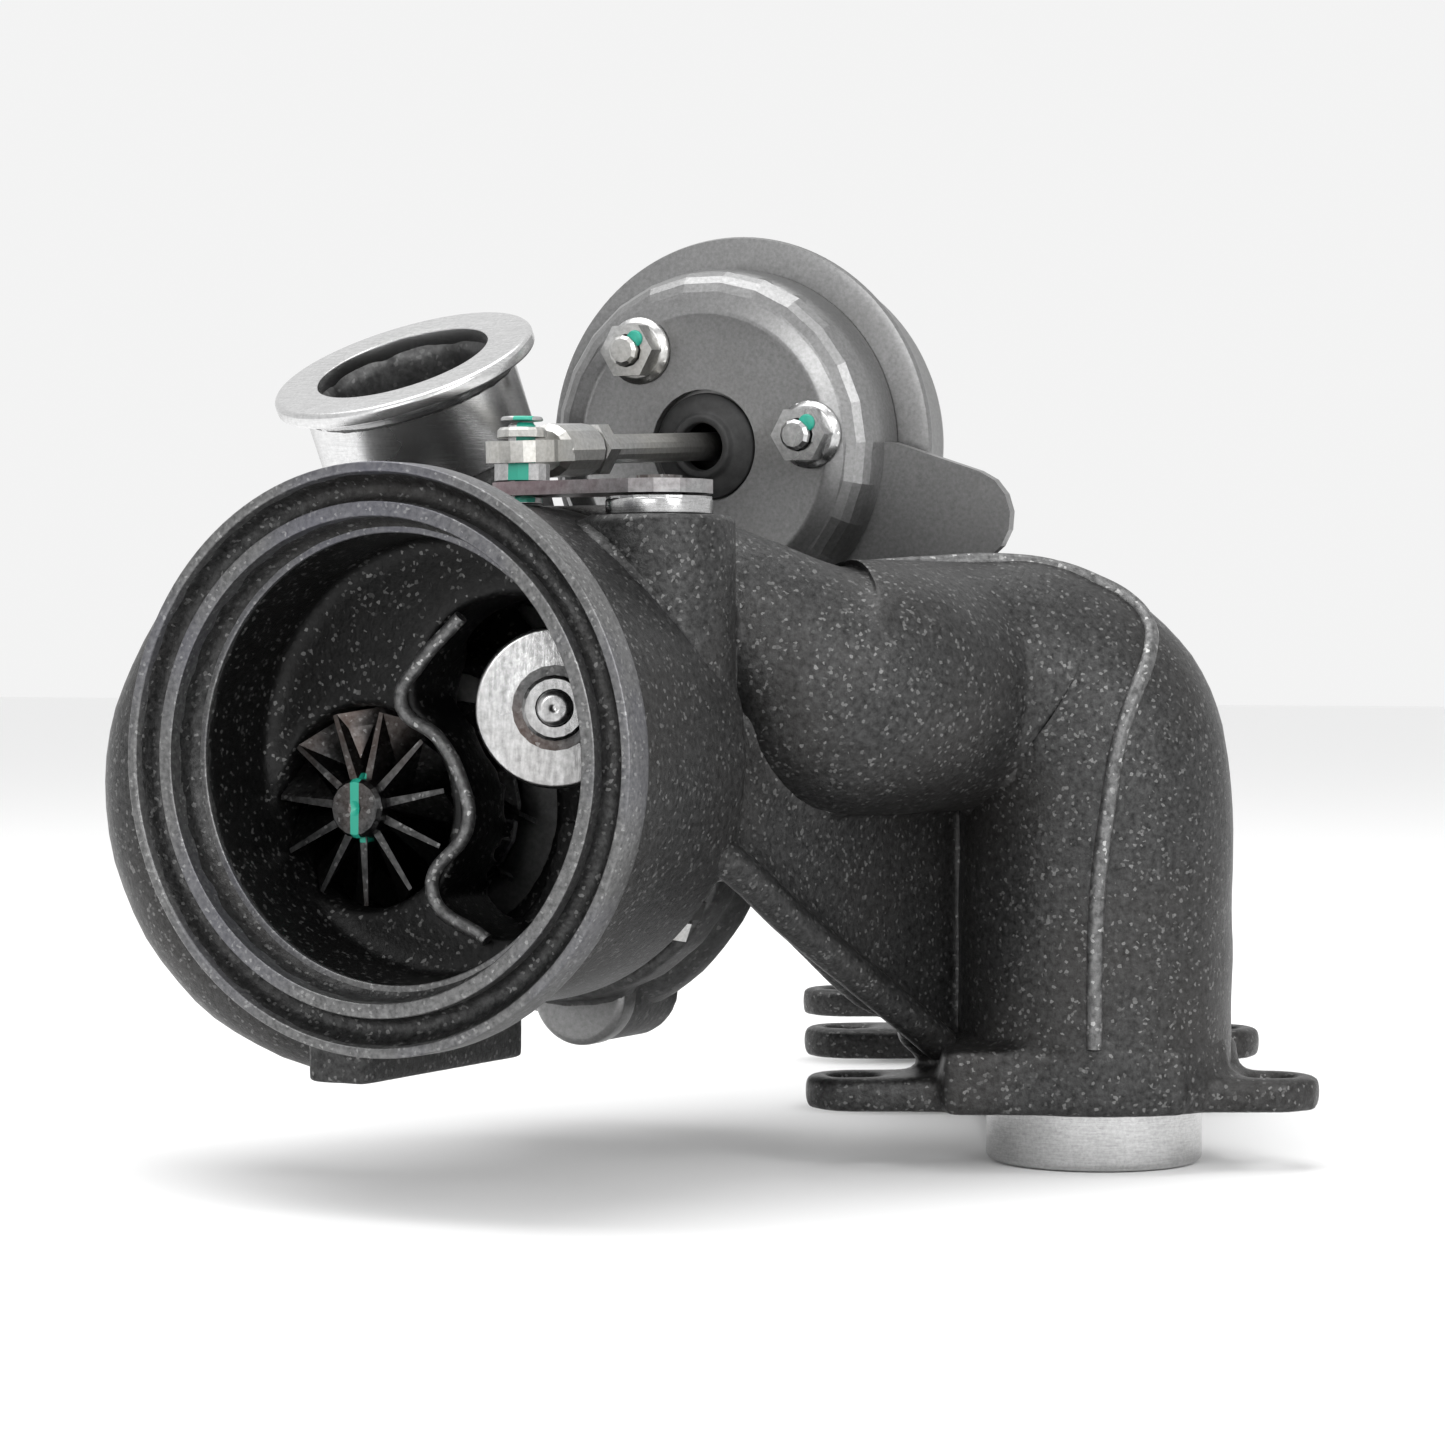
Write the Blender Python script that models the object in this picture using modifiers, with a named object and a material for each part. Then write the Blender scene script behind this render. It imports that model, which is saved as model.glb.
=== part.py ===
"""Vacuum-actuated turbocharger with an integral three-port exhaust manifold.

Frame: metres, +Z up. The origin lies on the sealing face of the head flange, midway between
ports 1 and 2. The shaft runs along +Y from the exhaust outlet to the compressor inlet.
All sizes below are in millimetres; the helpers scale them to metres.
"""

import math

import bmesh
import bpy
from mathutils import Matrix, Vector

MM = 0.001
GAP = 0.3

# Shaft and rotor
SHAFT_X = -72.4
SHAFT_Z = 56.9
SHAFT_R = 3.2
EXDUCER_Y = -146.0
EXDUCER_R = 17.0
INDUCER_R = 20.5
TURBINE_LENGTH = 26.0
TURBINE_BLADES = 11
COMPRESSOR_BACK_Y = -74.5
COMPRESSOR_LENGTH = 20.0
COMPRESSOR_R = 22.5
COMPRESSOR_EYE_R = 16.5
COMPRESSOR_BLADES = 10
TIP_CLEARANCE = 0.6

# Exhaust outlet
OUTLET_SHIFT_X = 18.0
OUTLET_SHIFT_Z = 9.1
OUTLET_DEPTH = 25.1
RIM_R = 49.3
RIM_THICKNESS = 6.3
OUTLET_BORE_R = 37.8
DRUM_R = 43.5

# Turbine scroll
SCROLL_SHIFT_Y = 22.0
WALL = 3.6

# Wastegate
GATE_SHAFT_X = -25.7
GATE_SHAFT_Y = -124.1
GATE_SHAFT_R = 4.0
GATE_ARM = 18.8
GATE_OPEN_DEG = 28.0
GATE_REST_DEG = 21.0
GATE_Z = 74.4
FLAP_R = 13.9
FLAP_THICKNESS = 2.4
SEAT_BORE_R = 11.0
POCKET_R = 19.0
BOSS_R = 13.0
BOSS_TOP_Z = 107.4
BUSHING_R = 9.2
BUSHING_HEAD = 3.2
LEVER_LENGTH = 26.6
LEVER_THICKNESS = 2.4
LEVER_BIG_R = 9.4
LEVER_SMALL_R = 5.2

# Actuator
ROD_R = 2.7
ROD_Z = 119.0
ROD_LENGTH = 74.0
ROD_YAW_DEG = 2.8
ROD_PITCH_DEG = 3.5
DISH_R = 34.0
DISH_DEPTH = 15.0
CAN_RIM_R = 40.6
CAN_R = 36.5
CAN_DEPTH = 26.0
RECESS_R = 11.0
STUD_CIRCLE_R = DISH_R * 0.67
STUD_FIRST_DEG = 4.5

# Compressor cover
COVER_SCROLL_Y = -62.0
INLET_R = 24.0
INLET_BORE_R = 20.5
INLET_END_Y = -20.0
BACKPLATE_R = 38.0
SPOUT_FLANGE_R = 25.5
SPOUT_R = 20.5
SPOUT_BORE_R = 17.0
SPOUT_TIP = (-104.0, -84.0, 139.3)
SPOUT_LEAN = (-0.0605, -0.44, 0.896)

# Centre housing
TURBINE_END_Y = -104.0
CENTRE_END_Y = -79.6
CENTRE_R = 24.0
CENTRE_FLANGE_R = 34.0
BEARING_BORE_R = 5.6

# Manifold
PORT_SPACING = 91.0
PORT_COUNT = 3
PORT_ROW_DEG = 26.9
PORT_BORE_R = 15.5
SLEEVE_R = 20.0
SLEEVE_DROP = 10.4
LEG_R = 25.5
LOG_R = 20.5
RUNNER_R = 23.0
RUNNER_Z = 77.5
FLANGE_BODY = 12.3
EAR_THICKNESS = 6.4
EAR_R = 9.5
EAR_LEFT = -44.6
EAR_RIGHT = 31.5
EAR_SHIFT = -9.0
EAR_HOLE_R = 4.3


# ---------------------------------------------------------------- scene helpers

def clear_scene():
    for item in list(bpy.data.objects):
        bpy.data.objects.remove(item)


def collection(name):
    group = bpy.data.collections.new(name)
    bpy.context.scene.collection.children.link(group)
    return group


clear_scene()
PARTS = collection("turbocharger")
CUTTERS = collection("cutters")


def material(name, colour, roughness, metallic):
    result = bpy.data.materials.new(name)
    result.use_nodes = True
    shader = result.node_tree.nodes["Principled BSDF"]
    shader.inputs["Base Color"].default_value = (*colour, 1.0)
    shader.inputs["Roughness"].default_value = roughness
    shader.inputs["Metallic"].default_value = metallic
    result.diffuse_color = (*colour, 1.0)
    return result


CAST_IRON = material("cast_iron", (0.045, 0.045, 0.047), 0.62, 0.7)
CAST_ALUMINIUM = material("cast_aluminium", (0.16, 0.16, 0.16), 0.5, 0.8)
MACHINED_STEEL = material("machined_steel", (0.42, 0.41, 0.4), 0.3, 1.0)
ZINC_STEEL = material("zinc_plated_steel", (0.5, 0.5, 0.49), 0.32, 1.0)
PRESSED_STEEL = material("pressed_steel", (0.26, 0.255, 0.25), 0.42, 0.9)
DARK_ALLOY = material("dark_nickel_alloy", (0.05, 0.05, 0.05), 0.45, 0.8)
BRIGHT_ALUMINIUM = material("bright_aluminium", (0.62, 0.62, 0.62), 0.28, 1.0)
BRONZE = material("bearing_bronze", (0.45, 0.3, 0.13), 0.4, 1.0)
RUBBER = material("black_rubber", (0.02, 0.02, 0.02), 0.75, 0.0)
SPRING_STEEL = material("spring_steel", (0.2, 0.2, 0.21), 0.35, 1.0)


def link(mesh, name, group):
    item = bpy.data.objects.new(name, mesh)
    group.objects.link(item)
    if group is CUTTERS:
        item.hide_render = True
        item.display_type = "WIRE"
    return item


def finish_mesh(work, name, group):
    """Weld, turn the faces outwards, and link the mesh as an object."""
    bmesh.ops.remove_doubles(work, verts=work.verts, dist=0.001 * MM)
    bmesh.ops.recalc_face_normals(work, faces=work.faces)
    mesh = bpy.data.meshes.new(name)
    work.to_mesh(mesh)
    work.free()
    return link(mesh, name, group)


def to_mesh(item):
    """Replace an object by the mesh that its curve or its modifiers give."""
    bpy.context.view_layer.update()
    graph = bpy.context.evaluated_depsgraph_get()
    mesh = bpy.data.meshes.new_from_object(item.evaluated_get(graph))
    name = item.name
    group = item.users_collection[0]
    matrix = item.matrix_world.copy()
    bpy.data.objects.remove(item)
    work = bmesh.new()
    work.from_mesh(mesh)
    work.transform(matrix)
    return finish_mesh(work, name, group)


def facing(direction):
    """Rotation that turns +Z to the given direction and keeps +X as level as it can."""
    return Vector(direction).normalized().to_track_quat("Z", "Y").to_matrix().to_4x4()


ALONG_Y = (0, 1, 0)
ALONG_Z = (0, 0, 1)


def turned(name, profile, base, direction=ALONG_Y, steps=16, group=None):
    """Turn a profile of (radius, distance along the axis) points; it may touch the axis."""
    area = sum(
        a[0] * b[1] - b[0] * a[1] for a, b in zip(profile, profile[1:] + profile[:1])
    )
    ordered = list(profile) if area < 0 else list(reversed(profile))
    mesh = bpy.data.meshes.new(name)
    edges = [(i, (i + 1) % len(ordered)) for i in range(len(ordered))]
    edges = [
        e for e in edges if ordered[e[0]][0] > 1e-6 or ordered[e[1]][0] > 1e-6
    ]
    mesh.from_pydata([(r * MM, 0, h * MM) for r, h in ordered], edges, [])
    item = link(mesh, name, group or PARTS)
    item.matrix_world = Matrix.Translation(Vector(base) * MM) @ facing(direction)
    screw = item.modifiers.new("turn", "SCREW")
    screw.steps = steps
    screw.render_steps = steps
    screw.use_merge_vertices = True
    screw.merge_threshold = 0.00001
    return to_mesh(item)


def disc(name, radius, start, end, base, direction=ALONG_Y, steps=16, group=None):
    profile = [(0, start), (radius, start), (radius, end), (0, end)]
    return turned(name, profile, base, direction, steps, group)


def ring(name, outer, inner, start, end, base, direction=ALONG_Y, steps=16, group=None):
    profile = [(inner, start), (outer, start), (outer, end), (inner, end)]
    return turned(name, profile, base, direction, steps, group)


def box(name, low, high, group=None, turn=None):
    work = bmesh.new()
    bmesh.ops.create_cube(work, size=1)
    size = Vector(high) - Vector(low)
    middle = (Vector(high) + Vector(low)) / 2
    place = Matrix.Translation(middle * MM) @ Matrix.Diagonal((*(size * MM), 1))
    work.transform((turn or Matrix()) @ place)
    return finish_mesh(work, name, group or PARTS)


def tube(name, points, radii, sides=3, group=None):
    """Round tube through the points; sides is the bevel resolution."""
    curve = bpy.data.curves.new(name, "CURVE")
    curve.dimensions = "3D"
    curve.twist_mode = "MINIMUM"
    curve.bevel_depth = MM
    curve.bevel_resolution = sides
    curve.use_fill_caps = True
    path = curve.splines.new("POLY")
    path.points.add(len(points) - 1)
    for slot, point, radius in zip(path.points, points, radii):
        slot.co = (*(Vector(point) * MM), 1)
        slot.radius = radius
    item = bpy.data.objects.new(name, curve)
    (group or PARTS).objects.link(item)
    mesh_item = to_mesh(item)
    if group is CUTTERS:
        mesh_item.hide_render = True
        mesh_item.display_type = "WIRE"
    return mesh_item


def plate(name, outline, low, high, group=None, turn=None):
    """Flat plate: an outline of (x, y) points in millimetres between two heights."""
    curve = bpy.data.curves.new(name, "CURVE")
    curve.dimensions = "2D"
    curve.fill_mode = "BOTH"
    curve.extrude = (high - low) / 2 * MM
    path = curve.splines.new("POLY")
    path.points.add(len(outline) - 1)
    for slot, (x, y) in zip(path.points, outline):
        slot.co = (x * MM, y * MM, 0, 1)
    path.use_cyclic_u = True
    item = bpy.data.objects.new(name, curve)
    (group or PARTS).objects.link(item)
    lift = Matrix.Translation((0, 0, (high + low) / 2 * MM))
    item.matrix_world = (turn or Matrix()) @ lift
    return to_mesh(item)


def arc(x, y, radius, start_deg, end_deg, count):
    angles = [start_deg + (end_deg - start_deg) * i / count for i in range(count + 1)]
    return [
        (x + radius * math.cos(math.radians(a)), y + radius * math.sin(math.radians(a)))
        for a in angles
    ]


def capsule(start, end, start_r, end_r, count=7):
    """Outline of a link with round ends of two radii."""
    heading = math.degrees(math.atan2(end[1] - start[1], end[0] - start[0]))
    length = math.hypot(end[0] - start[0], end[1] - start[1])
    flare = math.degrees(math.acos((start_r - end_r) / length))
    first = arc(*end, end_r, heading - flare, heading + flare, count)
    return first + arc(*start, start_r, heading + flare, heading + 360 - flare, count)


def hexagon(across_flats):
    return arc(0, 0, across_flats / math.sqrt(3), 0, 300, 5)


def smooth(points, count):
    """Catmull-Rom curve through tuples of any length."""
    ends = [points[0]] + list(points) + [points[-1]]
    result = []
    for k in range(len(points) - 1):
        a, b, c, d = ends[k:k + 4]
        for i in range(count):
            t = i / count
            result.append(tuple(
                0.5 * (2 * q + (r - p) * t + (2 * p - 5 * q + 4 * r - s) * t ** 2
                       + (3 * q - p - 3 * r + s) * t ** 3)
                for p, q, r, s in zip(a, b, c, d)
            ))
    return result + [tuple(points[-1])]


# The exact solver leaves open edges on these castings, whose helpers meet at tangents.
MANIFOLD_ITEMS = ("turbine_housing_manifold", "compressor_cover", "actuator_bracket",
                  "centre_housing")


def combine(item, others, operation):
    """One Boolean of an item with each helper in turn."""
    for other in others:
        for owner in list(other.users_collection):
            owner.objects.unlink(other)
        CUTTERS.objects.link(other)
        other.hide_render = True
        other.display_type = "WIRE"
        step = item.modifiers.new(other.name, "BOOLEAN")
        step.operation = operation
        step.solver = "MANIFOLD" if item.name in MANIFOLD_ITEMS else "EXACT"
        step.object = other
    return item


def join(item, *others):
    return combine(item, others, "UNION")


def cut(item, *others):
    return combine(item, others, "DIFFERENCE")


def dress(item, finish, edge_deg=32):
    item.data.materials.clear()
    item.data.materials.append(finish)
    item.data.shade_smooth()
    item.data.set_sharp_from_angle(angle=math.radians(edge_deg))
    return item


SHAFT = (SHAFT_X, 0, SHAFT_Z)
OUTLET_X = SHAFT_X + OUTLET_SHIFT_X
OUTLET_Z = SHAFT_Z + OUTLET_SHIFT_Z
OUTLET_FACE_Y = EXDUCER_Y - OUTLET_DEPTH
OUTLET = (OUTLET_X, OUTLET_FACE_Y, OUTLET_Z)
SCROLL_Y = EXDUCER_Y + SCROLL_SHIFT_Y
TURBINE_BACK_Y = EXDUCER_Y + TURBINE_LENGTH


# ---------------------------------------------------------------- rotor

def blend_curve(points, t):
    """Straight-line lookup in a list of (t, value) points."""
    for (a, p), (b, q) in zip(points, points[1:]):
        if t <= b:
            return p + (q - p) * (t - a) / (b - a)
    return points[-1][1]


def blade(name, start_y, end_y, root, tip, wrap_deg, half_thickness, slices=4):
    """One blade lofted from start_y to end_y; root and tip are curves of radius."""
    work = bmesh.new()
    loops = []
    for i in range(slices + 1):
        t = i / slices
        y = start_y + (end_y - start_y) * t
        angle = math.radians(wrap_deg) * t ** 1.7
        low = blend_curve(root, t)
        high = blend_curve(tip, t)
        corners = []
        for radius, thin in ((low, 1.0), (high, 0.55)):
            for side in (-1, 1):
                turn = angle + side * half_thickness * thin / radius
                x = SHAFT_X + radius * math.sin(turn)
                z = SHAFT_Z + radius * math.cos(turn)
                corners.append(work.verts.new((x * MM, y * MM, z * MM)))
        loops.append((corners[0], corners[1], corners[3], corners[2]))
    for a, b in zip(loops, loops[1:]):
        for k in range(4):
            work.faces.new((a[k], a[(k + 1) % 4], b[(k + 1) % 4], b[k]))
    work.faces.new(loops[0])
    work.faces.new(tuple(reversed(loops[-1])))
    return finish_mesh(work, name, CUTTERS)


def blade_ring(name, count, *shape):
    """A full ring of blades as one helper object of separate shells."""
    first = blade(name, *shape)
    work = bmesh.new()
    middle = Vector(SHAFT) * MM
    for i in range(count):
        step = Matrix.Rotation(2 * math.pi * i / count, 4, "Y")
        place = Matrix.Translation(middle) @ step @ Matrix.Translation(-middle)
        mesh = first.data.copy()
        mesh.transform(place)
        work.from_mesh(mesh)
        bpy.data.meshes.remove(mesh)
    bpy.data.objects.remove(first)
    return finish_mesh(work, name, CUTTERS)


def turbine_wheel():
    """Turbine wheel and the shaft welded to it, as one piece."""
    back = TURBINE_BACK_Y
    hub = 5.2
    profile = [
        (0, EXDUCER_Y - 1.8), (1.3, EXDUCER_Y - 2.4), (4.6, EXDUCER_Y - 2.4),
        (hub, EXDUCER_Y - 1.6), (hub + 0.3, EXDUCER_Y + 5), (8.0, EXDUCER_Y + 14),
        (12.0, back - 6.5), (INDUCER_R - 3.5, back - 2.2), (INDUCER_R - 3.5, back - 0.9),
        (9.5, back), (8.2, back + 3.0), (SHAFT_R + 3.2, back + 3.0),
        (SHAFT_R + 3.2, back + 9.0), (SHAFT_R, back + 9.6),
        (SHAFT_R, COMPRESSOR_BACK_Y - 6.0), (2.4, COMPRESSOR_BACK_Y - 5.4),
        (2.4, COMPRESSOR_BACK_Y + COMPRESSOR_LENGTH + 6.5),
        (0, COMPRESSOR_BACK_Y + COMPRESSOR_LENGTH + 6.5),
    ]
    wheel = turned("turbine_wheel_and_shaft", profile, (SHAFT_X, 0, SHAFT_Z), steps=16)
    root = [(0, INDUCER_R - 5.0), (0.2, 12.5), (0.45, 7.5), (1.0, 4.9)]
    tip = [(0, INDUCER_R), (0.35, INDUCER_R), (0.62, EXDUCER_R + 0.8), (1.0, EXDUCER_R)]
    blades = blade_ring(
        "turbine_blades", TURBINE_BLADES, back - 1.2, EXDUCER_Y, root, tip, -52, 0.75
    )
    return dress(join(wheel, blades), DARK_ALLOY)


def compressor_wheel():
    back = COMPRESSOR_BACK_Y
    front = back + COMPRESSOR_LENGTH
    profile = [
        (2.4 + GAP, back), (COMPRESSOR_R - 0.6, back), (COMPRESSOR_R - 0.6, back + 0.9),
        (14.0, back + 3.2), (8.5, back + 8.0), (5.4, front - 4), (5.0, front),
        (2.4 + GAP, front),
    ]
    wheel = turned("compressor_wheel", profile, (SHAFT_X, 0, SHAFT_Z), steps=24)
    root = [(0, COMPRESSOR_R - 3), (0.18, 13.0), (0.45, 7.6), (1.0, 4.7)]
    tip = [(0, COMPRESSOR_R), (0.2, COMPRESSOR_R), (0.45, 18.2), (1.0, COMPRESSOR_EYE_R)]
    blades = blade_ring(
        "compressor_blades", COMPRESSOR_BLADES, back + 0.5, front - 1.5, root, tip, 48, 0.6
    )
    return dress(join(wheel, blades), BRIGHT_ALUMINIUM)


def compressor_nut():
    start = COMPRESSOR_BACK_Y + COMPRESSOR_LENGTH + GAP
    place = Matrix.Translation(Vector((SHAFT_X, start, SHAFT_Z)) * MM) @ facing(ALONG_Y)
    nut = plate("compressor_nut", hexagon(8.0), 0, 5.0, turn=place)
    cut(nut, disc("nut_bore", 2.4 + GAP, -1, 6, (SHAFT_X, start, SHAFT_Z), group=CUTTERS))
    return dress(nut, ZINC_STEEL)


def bearings():
    """Floating journal bearings, their spacer, and the thrust set."""
    bore = SHAFT_R + GAP
    first = TURBINE_END_Y + 4.0
    second = CENTRE_END_Y - 12.0
    for name, start in (("turbine_side_bearing", first), ("compressor_side_bearing", second)):
        dress(ring(name, BEARING_BORE_R - GAP, bore, start, start + 6.0, SHAFT), BRONZE)
    spacer_start = first + 6.0 + GAP
    dress(ring("bearing_spacer", BEARING_BORE_R - GAP - 0.2, bore, spacer_start,
               second - GAP, SHAFT), MACHINED_STEEL)
    thrust = CENTRE_END_Y - 5.0
    dress(ring("thrust_collar", 7.2, bore, thrust - 0.7, thrust + 0.7, SHAFT), MACHINED_STEEL)
    dress(ring("thrust_bearing", 15.0, bore + 0.6, thrust + 1.0, thrust + 3.4, SHAFT), BRONZE)
    dress(ring("oil_flinger_sleeve", 6.2, 2.4 + GAP, COMPRESSOR_BACK_Y - 5.1,
               COMPRESSOR_BACK_Y - GAP, SHAFT), MACHINED_STEEL)


def piston_rings():
    """Gas seals at the two ends of the shaft; each sits in a land of its housing."""
    hot = TURBINE_BACK_Y + 3.0 + 4.4
    dress(ring("turbine_piston_ring", SHAFT_R + 3.75, SHAFT_R + 3.2 + 0.15, hot, hot + 1.2,
               SHAFT, steps=16), SPRING_STEEL)
    cold = COMPRESSOR_BACK_Y - 3.4
    dress(ring("compressor_piston_ring", 6.9, 6.2 + 0.15, cold, cold + 1.2, SHAFT, steps=16),
          SPRING_STEEL)


# ---------------------------------------------------------------- turbine housing and manifold

# The gas path from the scroll tail to port 1: (angle, centre radius, outer radius) about the shaft.
SCROLL_STATIONS = [
    (350, 29.5, 5.5), (315, 31.0, 7.5), (270, 35.5, 10.0), (225, 44.0, 14.5),
    (185, 49.5, 17.5), (150, 48.0, 17.5), (110, 42.0, 16.5), (75, 38.0, 16.0),
]

PORT_TURN = Matrix.Rotation(math.radians(PORT_ROW_DEG), 4, "Z")
FIRST_PORT = -PORT_SPACING / 2
FLANGE_FRONT = FIRST_PORT - SLEEVE_R - 3.5
PORTS = [FIRST_PORT + k * PORT_SPACING for k in range(PORT_COUNT)]


def on_row(across, along, z):
    """World point from distances across and along the row of ports."""
    point = PORT_TURN @ Vector((across, along, z))
    return tuple(point)


def scroll_points():
    stations = smooth(SCROLL_STATIONS, 2)
    points = []
    for angle, centre_r, outer_r in stations:
        turn = math.radians(angle)
        x = SHAFT_X + centre_r * math.cos(turn)
        z = SHAFT_Z + centre_r * math.sin(turn)
        points.append((x, SCROLL_Y, z, outer_r))
    return points


def runner_points():
    """From the scroll mouth behind the wastegate boss to the top of port 1, then down it."""
    behind = GATE_SHAFT_Y + BOSS_R
    port = on_row(0, FIRST_PORT, 0)
    start = scroll_points()[-1]
    route = [
        start,
        (SHAFT_X + 22.0, SCROLL_Y + 5.5, SHAFT_Z + 37.0, 15.8),
        (GATE_SHAFT_X - 11.0, behind + 1.5, SHAFT_Z + 37.1, 15.6),
        (GATE_SHAFT_X + 2.0, behind + 10.5, RUNNER_Z + 11.0, 17.0),
        (GATE_SHAFT_X + 12.5, behind + 20.0, RUNNER_Z + 1.5, RUNNER_R - 0.8),
        (port[0] - 26.5, port[1] - 40.0, RUNNER_Z, RUNNER_R),
        (port[0] - 21.5, port[1] - 20.4, RUNNER_Z + 0.3, RUNNER_R),
        (port[0] - 11.5, port[1] - 6.5, RUNNER_Z - 0.6, LEG_R - 1.2),
        (port[0] - 3.0, port[1] - 1.6, RUNNER_Z - 8.0, LEG_R - 0.2),
        (port[0], port[1], RUNNER_Z - 21.0, LEG_R),
    ]
    return smooth(route, 2)[1:] + [(port[0], port[1], FLANGE_BODY - 5.0, LEG_R)]


def log_points():
    """The log that gathers ports 3 and 2 and runs forward into the elbow over port 1."""
    last = PORTS[-1]
    top = RUNNER_Z - 4.0
    bend = smooth([
        (last, 42.0), (last - 2.5, 56.0), (last - 11.0, top - 8.0), (last - 26.0, top - 1.5),
        (last - 50.0, top),
    ], 3)
    profile = [(last, FLANGE_BODY - 5.0)] + bend + [(PORTS[1], top), (0, top), (FIRST_PORT + 8, top)]
    return [(*on_row(0, along, z), LOG_R) for along, z in profile]


def gas_tube(name, points, thinner=0.0, sides=3):
    radii = [p[3] - thinner for p in points]
    return tube(name, [p[:3] for p in points], radii, sides, CUTTERS)


def port_pins(name, radius, low, high):
    """Upright cylinders at the ports, as one helper."""
    return upright(name, [on_row(0, port, 0) for port in PORTS], radius, low, high)


def upright(name, places, radius, low, high, segments=16):
    work = bmesh.new()
    for x, y, *_ in places:
        lift = Matrix.Translation(Vector((x, y, (low + high) / 2)) * MM)
        bmesh.ops.create_cone(
            work, cap_ends=True, segments=segments, radius1=radius * MM, radius2=radius * MM,
            depth=(high - low) * MM, matrix=lift,
        )
    return finish_mesh(work, name, CUTTERS)


def ear_places():
    return [on_row(side, port + EAR_SHIFT, 0) for port in PORTS for side in (EAR_LEFT, EAR_RIGHT)]


def head_flange():
    """Thick flange body along the row of ports with thinner bolt ears across it, over-long below."""
    low = -2.0
    body = box("flange_strip", (-20, PORTS[0], low), (20, PORTS[-1], FLANGE_BODY - 0.4), CUTTERS, PORT_TURN)
    front = box("flange_front", (-29, FLANGE_FRONT, low - 1), (15, FIRST_PORT + 4, FLANGE_BODY - 0.2),
                CUTTERS, PORT_TURN)
    pads = port_pins("flange_pads", LEG_R + 1.2, low - 2, FLANGE_BODY)
    pieces = [body, front, pads]
    for k, port in enumerate(PORTS):
        row = port + EAR_SHIFT
        outline = capsule((EAR_LEFT, row), (EAR_RIGHT, row), EAR_R, EAR_R)
        pieces.append(plate(f"flange_ears_{k + 1}", outline, low - 3, EAR_THICKNESS, CUTTERS, PORT_TURN))
    return pieces


def sealing_plane():
    """Everything below the sealing face is machined away."""
    reach = 60.0
    return box("sealing_plane", (-reach, PORTS[0] - reach, -12), (reach, PORTS[-1] + reach, 0), CUTTERS, PORT_TURN)


def outlet_drum():
    """Outlet rim with its V-band groove and the drum behind it, solid before the bore is cut."""
    face = OUTLET_BORE_R
    back = SCROLL_SHIFT_Y + OUTLET_DEPTH + 12
    profile = [
        (0, 6.5), (face + 2.6, 6.5), (face + 2.6, 0), (face + 4.9, 0), (face + 4.9, 4.2),
        (RIM_R - 2.6, 4.2), (RIM_R - 1.6, 0), (RIM_R, 0), (RIM_R, RIM_THICKNESS),
        (DRUM_R, RIM_THICKNESS + 3.2), (DRUM_R, back - 7), (DRUM_R - 7, back), (0, back),
    ]
    return turned("outlet_drum", profile, OUTLET, steps=32, group=CUTTERS)


def turbine_core():
    profile = [
        (0, EXDUCER_Y), (34, EXDUCER_Y), (36, EXDUCER_Y + 6), (36, TURBINE_END_Y - 11),
        (CENTRE_FLANGE_R - 3, TURBINE_END_Y - 6.5), (CENTRE_FLANGE_R - 3, TURBINE_END_Y - 4.2),
        (CENTRE_FLANGE_R, TURBINE_END_Y - 2.4), (CENTRE_FLANGE_R, TURBINE_END_Y),
        (0, TURBINE_END_Y),
    ]
    return turned("turbine_core", profile, SHAFT, steps=26, group=CUTTERS)


def rotor_bore():
    """Exducer throat, shroud, nozzle slot to the scroll, and the register for the centre housing."""
    throat = EXDUCER_R + TIP_CLEARANCE
    shroud = INDUCER_R + TIP_CLEARANCE
    back = TURBINE_BACK_Y
    profile = [
        (0, EXDUCER_Y - 4), (throat, EXDUCER_Y - 4), (throat, EXDUCER_Y + 5.5),
        (throat + 1.2, back - 16.6), (shroud, back - 9.6), (shroud + 14, back - 8.5),
        (shroud + 14, back - 0.5), (shroud + 2, back - 0.5), (shroud + 2, back + 2.0),
        (CENTRE_FLANGE_R - 7, back + 2.0), (CENTRE_FLANGE_R - 7, TURBINE_END_Y - 1.2),
        (CENTRE_FLANGE_R - 3.4, TURBINE_END_Y - 1.2), (CENTRE_FLANGE_R - 3.4, TURBINE_END_Y + 2),
        (0, TURBINE_END_Y + 2),
    ]
    return turned("rotor_bore", profile, SHAFT, steps=32, group=CUTTERS)


def band_room():
    """Room behind the casting's flange for the clamp band."""
    flange = CENTRE_FLANGE_R - 0.2
    neck = CENTRE_FLANGE_R - 3.2
    outer = BAND_OUTER_R + 0.7
    profile = [
        (neck, BAND_LOW_Y - 0.6), (outer, BAND_LOW_Y - 0.6), (outer, TURBINE_END_Y + 3),
        (flange, TURBINE_END_Y + 3), (flange, TURBINE_END_Y - 2.4), (neck, TURBINE_END_Y - 4.2),
    ]
    return turned("band_room", profile, SHAFT, steps=26, group=CUTTERS)


SEAT_X = GATE_SHAFT_X - GATE_ARM * math.cos(math.radians(GATE_REST_DEG))
SEAT_Y = GATE_SHAFT_Y - GATE_ARM * math.sin(math.radians(GATE_REST_DEG)) + 3.1


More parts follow.
